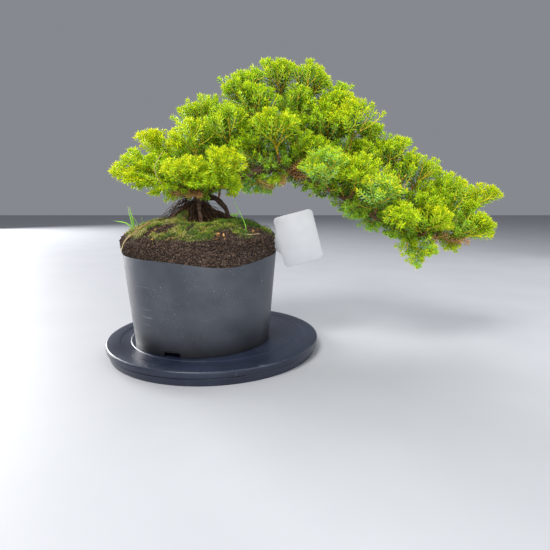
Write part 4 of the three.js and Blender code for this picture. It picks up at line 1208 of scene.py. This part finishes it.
NEEDLE = {"length": 6.8, "tip_length": 4.6, "spread": 58, "tip_spread": 40, "width": 1.3, "tip_width": 1.4}
BUD = {"needles": 6, "short": 2.0, "long": 3.0}
# Distance between whorls at a shoot's tip and far from it, and how fast it widens
WHORL = {"tip": 1.05, "old": 3.3, "reach": 8}
# A needle's short and upright youth fades over the first length from the tip, its young colour over the
# second
YOUNG = 11
GREENING = 13
# Distance between the rings of a stem, and the share of a needle's length where it is widest
STEM_STEP = 6
BELLY = 0.45
# A side shoot rises by this share of its own length
LIFT = 0.12
# Ribs of a crown's leading shoot, and the distance between the side shoots of a rib
RIBS = 8
SIDE_STEP = 12
# A needle's corners are its foot, the right, left and keel of its belly, and its tip. The foot is painted
# darker than the rest, as painted shade where the needles crowd, and the tip lighter, as painted light, by
# these shares.
FOOT_SHADE = 0.55
TIP_LIGHT = 0.06
NEEDLE_FACES = np.array([(0, 1, 2), (0, 2, 3), (0, 3, 1), (4, 2, 1), (4, 3, 2), (4, 1, 3)])


def awls(shape, feet, ahead, up, length, width, bend, tint):
    """Awl-shaped needles, one a row of feet: flat towards up, where tint alpha is 1, and keeled beneath."""
    side = np.cross(ahead, up)
    half = (width / 2)[:, None]
    belly = feet + ahead * (BELLY * length)[:, None] - up * (0.3 * bend)[:, None]
    tip = feet + ahead * length[:, None] + up * bend[:, None]
    corners = [feet, belly + side * half, belly - side * half, belly - up * half * 0.8, tip]
    faces = copied_faces(NEEDLE_FACES, len(corners), len(feet))
    tints = np.repeat(tint[:, None], len(corners), axis=1)
    tints[:, (0, 1, 2, 4), 3] = 1
    # Painted shade at each needle's foot and painted light at its tip.
    tints[:, 0, 0] = np.maximum(0, tints[:, 0, 0] - FOOT_SHADE)
    tints[:, 4, 0] += TIP_LIGHT
    shape.add(np.stack(corners, axis=1).reshape(-1, 3), [faces], tints.reshape(-1, 4))


def whorl_shares(length, packed):
    """Where the whorls of a shoot are, as shares of its length: closer together towards its tip."""
    from_tip, found = 0.5, []
    while from_tip < length - 0.8:
        found.append(1 - from_tip / length)
        from_tip += packed * blend(WHORL["old"], WHORL["tip"], math.exp(-from_tip / WHORL["reach"]))
    return np.array(found or [0.5])


def outwards(normal, binormal, angle):
    """Directions at angles round an axis, from two that are square to it and to each other."""
    return normal * np.cos(angle)[:, None] + binormal * np.sin(angle)[:, None]


def leaning(axis, out, tilt):
    """Directions that lean outwards from an axis by tilt, and which way is up for a leaf along each."""
    return axis * np.cos(tilt) + out * np.sin(tilt), axis * np.sin(tilt) - out * np.cos(tilt)


def leafy_shoot(shape, rng, curve, thick, fresh, lot, turn, packed=1.0, size=1.0):
    """A slim stem with whorls of three needles, shorter and more upright towards its tip.
    fresh is the tint of its oldest part and of its tip, and packed a factor of the distance between
    whorls."""
    length = length_of(curve)
    ahead, normal, _ = frames_of(curve)
    share = whorl_shares(length, packed)
    whorls = len(share)
    place = share * (len(curve) - 1)
    low = np.minimum(place.astype(int), len(curve) - 2)
    part = (place - low)[:, None]
    middle = blend(curve[low], curve[low + 1], part)
    axis = unit(blend(ahead[low], ahead[low + 1], part))
    n = unit(blend(normal[low], normal[low + 1], part))
    b = np.cross(axis, n)
    young = np.exp(-(1 - share) * length / YOUNG)
    spread = blend(NEEDLE["spread"], NEEDLE["tip_spread"], young**2)
    reach = size * blend(NEEDLE["length"], NEEDLE["tip_length"], young**2)
    rows = []
    for k in range(3):
        angle = turn + np.arange(whorls) * math.pi / 3 + k * 2 * math.pi / 3 + rng.normal(0, 0.14, whorls)
        out = outwards(n, b, angle)
        tilt = np.radians(spread + rng.normal(0, 6, whorls))[:, None]
        long = reach * rng.uniform(0.84, 1.12, whorls)
        rows.append((middle + out * thick * 0.5, *leaning(axis, out, tilt), long, young))
    bud = BUD["needles"]
    out = outwards(n[-1], b[-1], turn + np.arange(bud) * 2 * math.pi / bud)
    tilt = np.radians(rng.uniform(10, 38, bud))[:, None]
    top = np.repeat(curve[-1][None], bud, axis=0)
    long = rng.uniform(BUD["short"], BUD["long"], bud)
    rows.append((top, *leaning(axis[-1], out, tilt), long, np.ones(bud)))
    feet, point, up, reach, young = (np.concatenate(part) for part in zip(*rows))
    count = len(feet)
    tint = np.zeros((count, 4))
    age = blend(fresh[0], fresh[1], young ** (YOUNG / GREENING))
    tint[:, 0] = np.clip(age + rng.normal(0, 0.09, count), 0, 1)
    tint[:, 1] = np.clip(lot + rng.normal(0, 0.2, count), 0, 1)
    width = blend(NEEDLE["width"], NEEDLE["tip_width"], young) * rng.uniform(0.85, 1.15, count)
    awls(shape, feet, point, up, reach, width, 0.1 * reach * rng.uniform(0.2, 1.3, count), tint)
    stem = evenly(curve, max(3, round(length / STEM_STEP)))
    steps = np.linspace(0, 1, len(stem))
    age = blend(fresh[0], fresh[1], np.exp(-(1 - steps) * length / GREENING))
    stem_tint = np.column_stack([age, np.full(len(stem), lot), np.ones(len(stem)), steps * 0])
    tube(shape, stem, np.linspace(thick, thick * 0.6, len(stem)), 3, stem_tint)


def van_der_corput(k):
    """A share of 1 for each k: 1/2, 1/4, 3/4, 1/8, 5/8 and so on."""
    share, step = 0.0, 0.5
    while k:
        share += (k % 2) * step
        k //= 2
        step /= 2
    return share


def side_shoot(curve, share, turn, forward, aside, spare=0.0):
    """A shoot that leaves a curve forwards, curves in beside it and seeks the light.
    forward and aside are shares of what is left of the curve."""
    start, ahead = at(curve, share)
    rest = float(np.linalg.norm(curve[-1] - start))
    out = sideways(ahead, turn)
    if out[2] < 0:
        out = out * (1, 1, 0.45)
    width = spare + aside * rest
    rise = np.array([0, 0, LIFT * rest])
    end = start + ahead * forward * rest + out * width + rise
    knee = start + ahead * 0.35 * forward * rest + out * 0.65 * width
    return arc(start, knee, end, 16)


def crown_mains(start, base, tips):
    """The leading shoots of a crown, as the CAD crown has them."""
    twig = crown_twig(start, base, tips[0])
    ahead = unit(twig[-1] - twig[-2])
    foot = base + ahead * 0.35
    main = arc(foot, foot + ahead * 0.35 * np.linalg.norm(tips[0] - foot), tips[0], 30)
    fork, _ = at(main, 0.1)
    knee = blend(fork, tips[1], 0.4) + ahead * 0.16 * np.linalg.norm(tips[1] - fork)
    return [main, arc(fork, knee, tips[1], 30)]


def spray(shape, rng, main, ribs, lot, order, full, fresh):
    """A leading shoot, its ribs all round, and short side shoots on each rib.
    A full of less than 1 is a slim spray."""
    newer = (fresh[0] + 0.15, fresh[1])
    leafy_shoot(shape, rng, main, 1.1, fresh, lot, order)
    for k in range(ribs):
        share = 0.04 + 0.88 * van_der_corput(k + 1)
        turn = order * 0.9 + k * GOLDEN
        forward, aside = rng.uniform(0.6, 0.84), rng.uniform(0.2, 0.34)
        rib = side_shoot(main, share, turn, forward, aside * full, 6.5 * full)
        rib_lot = lot + rng.normal(0, 0.09)
        leafy_shoot(shape, rng, rib, 0.8, fresh, rib_lot, order + k)
        for j in range(max(1, round(length_of(rib) / SIDE_STEP))):
            spot = 0.2 + 0.68 * van_der_corput(j + 1 + k % 2)
            small = side_shoot(rib, spot, turn + 1.1 + j * GOLDEN, rng.uniform(0.6, 0.88), 0.32, 5.6)
            leafy_shoot(shape, rng, small, 0.6, newer, rib_lot + rng.normal(0, 0.06), k + j)


def oldest_lit_near(place):
    """How fresh and light the oldest needles are near a place: more so at the left, the front and the far
    end, partly their fresher colour and partly painted light that lifts the shade inside the crowns there.
    """
    left = np.clip((20 - place[0]) / 60, 0, 1)
    front = np.clip((-20 - place[1]) / 30, 0, 1)
    end = np.clip((place[0] - 230) / 60, 0, 1)
    return 0.4 * left + 0.3 * front * (1 - left) + 0.42 * end


def crown(order, name, start, base, first, second):
    rng = np.random.default_rng(SEEDS["crown"] + order)
    start, base, first, second = (np.array(p, float) for p in (start, base, first, second))
    lot = 0.5 + GOLD.get(name, -0.06 if name.startswith("back") else 0.0)
    shape = Shape()
    for n, main in enumerate(crown_mains(start, base, [first, second])):
        fresh = (oldest_lit_near(main[-1]), 0.88)
        spray(shape, rng, main, RIBS, lot, order + 1.9 * n, SLIM.get(name, 1.0), fresh)
    blue = name in BLUISH
    look, slot = (NEEDLES_BLUE, "needles_bluish") if blue else (NEEDLES, "needles")
    shape.piece(f"spray_{name}", "turntable", look, [f"foliage_{name}"], smooth=False)


# Older shoots close to the wood, with darker tips, as older growth and as painted shade in the gaps between
# the
# crowns: along which wood, at what distance from one another, and how long
INNER = [
    {"wood": "trunk", "from": 0.26, "to": 0.42, "every": 5, "length": 27},
    {"wood": "trunk", "from": 0.42, "to": 0.53, "every": 3.5, "length": 42, "behind": True},
    {"wood": "trunk", "from": 0.53, "to": 0.97, "every": 5, "length": 31},
    {"wood": "boughs", "from": 0.12, "to": 0.98, "every": 5, "length": 31},
    {"wood": "twigs", "from": 0.1, "to": 0.9, "every": 7, "length": 22},
]


def wood_lines(kind):
    """The curves of the wood that inner shoots grow from."""
    if kind == "trunk":
        return [through(TRUNK["path"], 320)]
    if kind == "boughs":
        return [through(bough["path"], 60) for bough in BOUGHS]
    return twigs()


def between():
    """Leading shoots with ribs, in the gaps between the crowns."""
    rng = np.random.default_rng(SEEDS["between"])
    shape = Shape()
    for k, (start, tip) in enumerate(BETWEEN):
        start, tip = np.array(start, float), np.array(tip, float)
        knee = blend(start, tip, 0.45) + (0, 0, 0.12 * np.linalg.norm(tip - start))
        spray(shape, rng, arc(start, knee, tip, 24), 6, 0.47, k * 2.4, 0.7, (oldest_lit_near(tip), 0.82))
    shape.piece("between_sprays", "turntable", NEEDLES, smooth=False)


def inner_shoots(number, wood, every, length, behind=False, **span):
    """Small sprays that fill the space between the wood and the crowns."""
    rng = np.random.default_rng(SEEDS["inner"] + number)
    shape = Shape()
    for line, curve in enumerate(wood_lines(wood)):
        whole = length_of(curve)
        count = max(2, round(whole * (span["to"] - span["from"]) / every))
        for k in range(count):
            share = span["from"] + (span["to"] - span["from"]) * (k + rng.uniform(0.2, 0.8)) / count
            start, ahead = at(curve, share)
            turn = line * 1.3 + k * GOLDEN
            out = sideways(ahead, turn)
            if behind:
                out[1] = abs(out[1])
            reach = length * rng.uniform(0.75, 1.15) * (1 if out[2] > 0 else 0.42)
            lean = unit(out + 0.35 * ahead + (0, 0, 0.55))
            end = start + lean * reach
            knee = start + out * 0.5 * reach
            main = arc(start, knee, end, 16)
            lot = 0.42 + rng.normal(0, 0.1)
            oldest = oldest_lit_near(start)
            # Their tips are darker than a crown's: older growth, and painted shade in the gaps behind the
            # crowns.
            leafy_shoot(shape, rng, main, 0.8, (oldest, 0.52), lot, k, size=1.1)
            for j in range(4):
                spot = 0.15 + 0.65 * van_der_corput(j + 1)
                small = side_shoot(main, spot, turn + j * GOLDEN, 0.75, 0.6, 4.5)
                leafy_shoot(shape, rng, small, 0.6, (oldest + 0.04, 0.56), lot + rng.normal(0, 0.1), k + j)
    shape.piece(f"inner_sprays_{number}", "turntable", NEEDLES, smooth=False)


# Litter: dead needles, straw, bark chips, a fallen leaf


def litter():
    rng = np.random.default_rng(SEEDS["litter"])
    shape = Shape()
    dead_sprays(shape, rng)
    fallen_needles(shape, rng)
    bark_chips(shape, rng)
    straws(shape)
    shape.piece("dry_litter", "turntable", DRY, smooth=False)


# Dead shoots that still hang on the wood: their paths
DEAD_SPRAYS = [
    [(-6, -30, 188), (-14, -42, 184), (-28, -48, 182)],
    [(-4, -34, 186), (-10, -46, 182), (-16, -52, 180)], [(-2, -36, 186), (-6, -48, 183), (-4, -56, 180)],
    [(-12, -28, 188), (-24, -40, 185), (-34, -44, 183)],
    [(86, -16, 206), (94, -26, 208), (101, -33, 216)], [(92, -16, 204), (98, -24, 200), (106, -30, 200)],
    [(78, -14, 206), (84, -24, 200), (82, -30, 194)], [(100, -14, 200), (104, -22, 206), (96, -30, 210)],
    [(52, -14, 200), (60, -20, 194), (70, -22, 190)], [(210, -20, 146), (218, -30, 146), (226, -38, 150)],
    [(250, -22, 134), (262, -36, 132), (274, -42, 130)],
    [(268, -21, 136), (277, -33, 132), (285, -37, 130)],
    [(240, -22, 135), (250, -38, 135), (258, -44, 138)],
]


def dead_sprays(shape, rng):
    for path in DEAD_SPRAYS:
        lot = rng.uniform(0.7, 1.0)
        turn = rng.uniform(0, 6)
        leafy_shoot(shape, rng, through(path, 24), 0.7, (0.05, 0.3), lot, turn, packed=0.9, size=1.15)


def fallen_needles(shape, rng):
    count = 420
    feet = ground(np.column_stack(scattered(rng, count, SOIL["shoulder"] - 4))) + (0, 0, 2.2)
    heading = rng.uniform(0, 2 * math.pi, count)
    ahead = unit(np.column_stack([np.cos(heading), np.sin(heading), rng.normal(0.05, 0.2, count)]))
    up = unit(np.cross(np.cross(ahead, (0, 0, 1)), ahead))
    tint = np.zeros((count, 4))
    tint[:, 0] = rng.uniform(0, 0.6, count)
    tint[:, 1] = rng.uniform(0.2, 1, count)
    length = rng.uniform(4, 7.5, count)
    awls(shape, feet, ahead, up, length, np.full(count, 0.9), rng.uniform(-0.6, 0.6, count), tint)


def bark_chips(shape, rng):
    """Flat orange-brown chips along the front of the top, most of them near the edge."""
    count, corners = 44, 7
    in_front = rng.random(count) < 0.7
    angle = np.where(in_front, rng.normal(-1.45, 0.5, count), rng.uniform(0, 2 * math.pi, count))
    reach = SOIL["shoulder"] * np.clip(rng.normal(0.93, 0.06, count), 0.6, 0.99)
    for place in ground(np.column_stack(round_pot(reach, angle))) + (0, 0, 0.9):
        turn = 2 * math.pi * (np.arange(corners) + rng.uniform(-0.35, 0.35, corners)) / corners
        size = rng.uniform(0.8, 2.3) * rng.uniform(0.8, 1.2, corners)
        rim = np.stack([np.cos(turn) * size, np.sin(turn) * size * rng.uniform(0.4, 0.75)], axis=1)
        tilt = rng.normal(0, 0.45, 2)
        spin = rng.uniform(0, 2 * math.pi)
        flat = rim @ np.array([(math.cos(spin), math.sin(spin)), (-math.sin(spin), math.cos(spin))])
        low = np.column_stack([flat, flat @ tilt]) + place
        points = np.vstack([low, low + (0, 0, rng.uniform(0.4, 0.9))])
        tint = (rng.uniform(0, 0.25), rng.uniform(0.35, 1.0), 0, 0)
        shape.add(points, solid_faces(2, corners), tint)


# Straws: path and radius
STRAWS = [
    ([(-58, -50, 152), (-66, -64, 146), (-73, -74, 138)], 0.8),
    ([(-71, -74, 141), (-76, -79, 134), (-80, -80, 124)], 0.7),
    ([(-40, -56, 186), (-48, -60, 206), (-40, -56, 224)], 0.45),
    ([(-26, -66, 149), (-34, -78, 142), (-38, -84, 137)], 0.5),
    ([(-20, -50, 152), (-2, -62, 150), (10, -74, 145)], 0.4),
    ([(28, -66, 146), (44, -72, 141), (58, -66, 141)], 0.45),
    ([(-86, 0, 143), (-92, -8, 140), (-99, -6, 132)], 0.5),
    ([(36, 40, 146), (50, 48, 141), (62, 44, 138)], 0.5),
    ([(-30, 62, 144), (-46, 66, 141), (-58, 60, 140)], 0.45),
]


def straws(shape):
    """Straws that thin out to a point. The thickest one is fresh and browner."""
    count, thickest = 16, 0.75
    share = np.linspace(0, 1, count)
    for path, radius in STRAWS:
        kind = 0.35 if radius > thickest else 0.9
        tint = np.column_stack([np.full(count, kind), 0.4 + 0.5 * share, share * 0, share * 0])
        tube(shape, through(path, count), radius * (1 - 0.5 * share), 6, tint, pointed=True)


# Weeds


def ribbon(shape, curve, width, thick, lot):
    """A grass blade: a thin lens in section, folded along its middle, narrowing to a point."""
    _, normal, binormal = frames_of(curve)
    count = len(curve)
    share = np.linspace(0, 1, count)
    half = width * np.minimum(1, 0.55 + share * 1.6) * (1 - share**2.4) + 0.08
    fold = 0.25 * half
    section = [(1, 1, 0), (0, 0, 1), (-1, 1, 0), (0, 0, -1)]
    rings = []
    for across, up, skin in section:
        aside = curve + binormal * (across * half)[:, None]
        rings.append(aside + normal * (up * fold + skin * thick / 2)[:, None])
    points = np.stack(rings, axis=1).reshape(-1, 3)
    tint = np.zeros((count, 4, 4))
    tint[:, :, 0] = share[:, None]
    tint[:, :, 1] = lot
    shape.add(points, [face[:, ::-1] for face in solid_faces(count, 4)], tint.reshape(-1, 4))


# Thin blades beside those of the CAD source: their paths
EXTRA_BLADES = [
    [(-82, -24, 138), (-80, -25, 149), (-84, -28, 158)],
    [(-78, -30, 138), (-74, -34, 146), (-70, -42, 150)],
    [(-86, -18, 137), (-92, -14, 146), (-97, -12, 149)],
    [(-80, -20, 138), (-76, -18, 148), (-78, -15, 156)],
]


def weeds():
    shape = Shape()
    for k, blade in enumerate(GRASS):
        ribbon(shape, through(blade["path"], 26), blade["radius"], 0.35, 0.1 * k)
    for k, path in enumerate(EXTRA_BLADES):
        ribbon(shape, through(path, 20), 0.5, 0.25, 0.2 + 0.1 * k)
    shape.piece("grass_blades", "turntable", BLADE, ["grass_tuft"], sharp=50)
    shape = Shape()
    curve = through(STALK["path"], 40)
    share = np.linspace(0, 1, 40)
    tint = np.column_stack([0.3 + 0.4 * share, np.full(40, 0.7), share * 0, share * 0])
    tube(shape, curve, 0.55 * (1 - 0.6 * share), 8, tint, pointed=True)
    small_leaf(shape, np.array([24.0, 22.0, 157.0]), 4.6)
    shape.piece("thin_stalk", "turntable", BLADE, ["weed_stalk"], sharp=60)


def small_leaf(shape, top, size):
    """A small kidney-shaped leaf on a short stalk, cupped and wavy at its edge, facing the front."""
    foot = on_soil(top) + (2, 0, 0)
    tube(shape, arc(foot, blend(foot, top, 0.6) + (1.5, 0, 0), top, 10), 0.35, 6, (0.4, 0.1, 0, 0))
    corners = 20
    around = circle(corners)
    c, s = np.cos(around), np.sin(around)
    notch_depth = np.exp(-(((around - 1.5 * math.pi) / 0.45) ** 2))
    scale = size * (1 - 0.55 * notch_depth + 0.05 * np.cos(7 * around))
    cup = 0.2 * size * (1 + np.cos(2 * around))
    rim = np.column_stack([scale * c, -0.85 * scale * s, cup - 0.62 * scale * s])
    points = np.vstack([rim + top, rim * 0.5 + top - (0, 0, 0.2), top + (0, 0.25, 0)])
    first = np.arange(corners)
    fan = np.stack([corners + first, corners + (first + 1) % corners, np.full(corners, 2 * corners)], axis=1)
    shape.add(points, [ring_faces(2, corners), fan], (0.3, 0.35, 0, 0))


# Label


def label_outline():
    """The label's outline in its own plane: x along its length, y across it."""
    length, half, corner = LABEL["length"], LABEL["width"] / 2, LABEL["corner"]
    neck, shoulder = LABEL["neck"] / 2, LABEL["shoulder"]
    low = -LABEL["stake"]
    points = [(low, 0), (low + LABEL["point"], -neck * 0.7), (-shoulder, -neck)]
    share = np.linspace(0, 1, 8)[1:, None]
    bend = [np.array(p) for p in ((-shoulder, -neck), (-1, -neck - 2), (0, -neck - shoulder))]
    curve = (1 - share) ** 2 * bend[0] + 2 * share * (1 - share) * bend[1] + share**2 * bend[2]
    points += curve.tolist()
    for cx, cy, start in ((corner, corner - half, math.pi), (length - corner, corner - half, 1.5 * math.pi)):
        for turn in np.linspace(start, start + math.pi / 2, 9):
            points.append((cx + corner * math.cos(turn), cy + corner * math.sin(turn)))
    lower = np.array(points)
    return np.vstack([lower, (lower[1:] * (1, -1))[::-1]])


def plant_label():
    """The label's sheet, with its edge eased, standing in the soil with its head tilted."""
    outline = label_outline()
    count = len(outline)
    edge = unit(np.roll(outline, -1, axis=0) - np.roll(outline, 1, axis=0))
    inward = np.column_stack([-edge[:, 1], edge[:, 0]])
    half = LABEL_HEAD["thick"] / 2
    bevel, ease = 0.16, 0.05
    lower = [(bevel, -half), (ease, -half + ease), (0, -half + bevel)]
    layers = lower + [(shift, -depth) for shift, depth in lower[::-1]]
    rings = [np.column_stack([outline + inward * shift, np.full(count, depth)]) for shift, depth in layers]
    flat = np.concatenate(rings)
    along, across, depth = flat[:, 0] - LABEL["length"] / 2, flat[:, 1], flat[:, 2]
    tilt = math.radians(LABEL_HEAD["tilt"])
    x = along * math.cos(tilt) - across * math.sin(tilt) + LABEL_HEAD["x"]
    z = along * math.sin(tilt) + across * math.cos(tilt) + LABEL_HEAD["z"]
    points = np.column_stack([x, LABEL_HEAD["y"] - depth, z])
    dirty = np.clip((2 - flat[:, 0]) / 8, 0, 1)
    tint = np.column_stack([dirty, dirty * 0, dirty * 0, dirty * 0])
    shape = Shape()
    shape.add(points, solid_faces(len(layers), count), tint)
    shape.piece("bare_label", "turntable", LABEL_LOOK, ["plant_label"], sharp=50)


# The object

lower_disc()
upper_disc()
grip_ring()
pivot()
bearing()
cage()
pot()
root_ball()
moss()
wood()
hair_roots()
for number, entry in enumerate(CROWNS):
    crown(number, *entry)
for number, entry in enumerate(INNER):
    inner_shoots(number, **entry)
between()
litter()
weeds()
plant_label()

# Floor, light and camera


def stage():
    half = 6.0
    mesh = bpy.data.meshes.new("floor")
    corners = [(-half, -half, 0), (half, -half, 0), (half, half, 0), (-half, half, 0)]
    mesh.from_pydata(corners, [], [(0, 1, 2, 3)])
    look = Look("pale_floor", Roughness=0.55, Specular_IOR_Level=0.3)
    tone = look.ramp(look.noise(120), (0.3, (0.385, 0.395, 0.42)), (0.7, (0.41, 0.42, 0.445)))
    look.set("Base Color", tone)
    mesh.materials.append(look.material)
    floor = bpy.data.objects.new("floor", mesh)
    bpy.context.scene.collection.objects.link(floor)


def softbox(name, place, aim, size, power, colour=(1, 1, 1)):
    light = bpy.data.lights.new(name, "AREA")
    light.shape = "SQUARE"
    light.size = size
    light.energy = power
    light.color = colour
    made = bpy.data.objects.new(name, light)
    made.location = place
    made.rotation_euler = (Vector(aim) - Vector(place)).to_track_quat("-Z", "Y").to_euler()
    bpy.context.scene.collection.objects.link(made)


def daylight():
    world = bpy.data.worlds.new("studio")
    world.use_nodes = True
    background = world.node_tree.nodes["Background"]
    background.inputs["Color"].default_value = (0.68, 0.72, 0.79, 1)
    background.inputs["Strength"].default_value = 0.35
    bpy.context.scene.world = world
    softbox("key", (-0.55, -1.1, 1.5), (0.05, 0, 0.15), 0.65, 35, (1, 0.98, 0.95))
    softbox("front", (0.15, -1.5, 0.45), (0.05, 0, 0.15), 1.0, 8, (0.98, 0.99, 1))
    softbox("fill", (1.3, -0.9, 0.8), (0.05, 0, 0.15), 1.2, 12, (0.93, 0.96, 1))
    softbox("top", (0.1, 0.5, 1.6), (0.05, 0, 0.2), 0.9, 10)
    softbox("left_window", (-2.2, 1.65, 0.87), (0, 0, 0.1), 1.54, 116)
    softbox("right_window", (1.1, 0.5, 0.45), (0, 0, 0.1), 0.6, 1.8)


def camera():
    """The photograph's viewpoint: at the height of the trunk, looking down a little."""
    lens = bpy.data.cameras.new("camera")
    lens.lens = 27.32
    lens.sensor_width = 36
    made = bpy.data.objects.new("camera", lens)
    made.location = (0.07392, -0.49439, 0.17108)
    made.rotation_euler = (math.radians(90 - 9.6606), 0, 0)
    bpy.context.scene.collection.objects.link(made)
    bpy.context.scene.camera = made


stage()
daylight()
camera()
bpy.context.scene.view_settings.view_transform = "Standard"
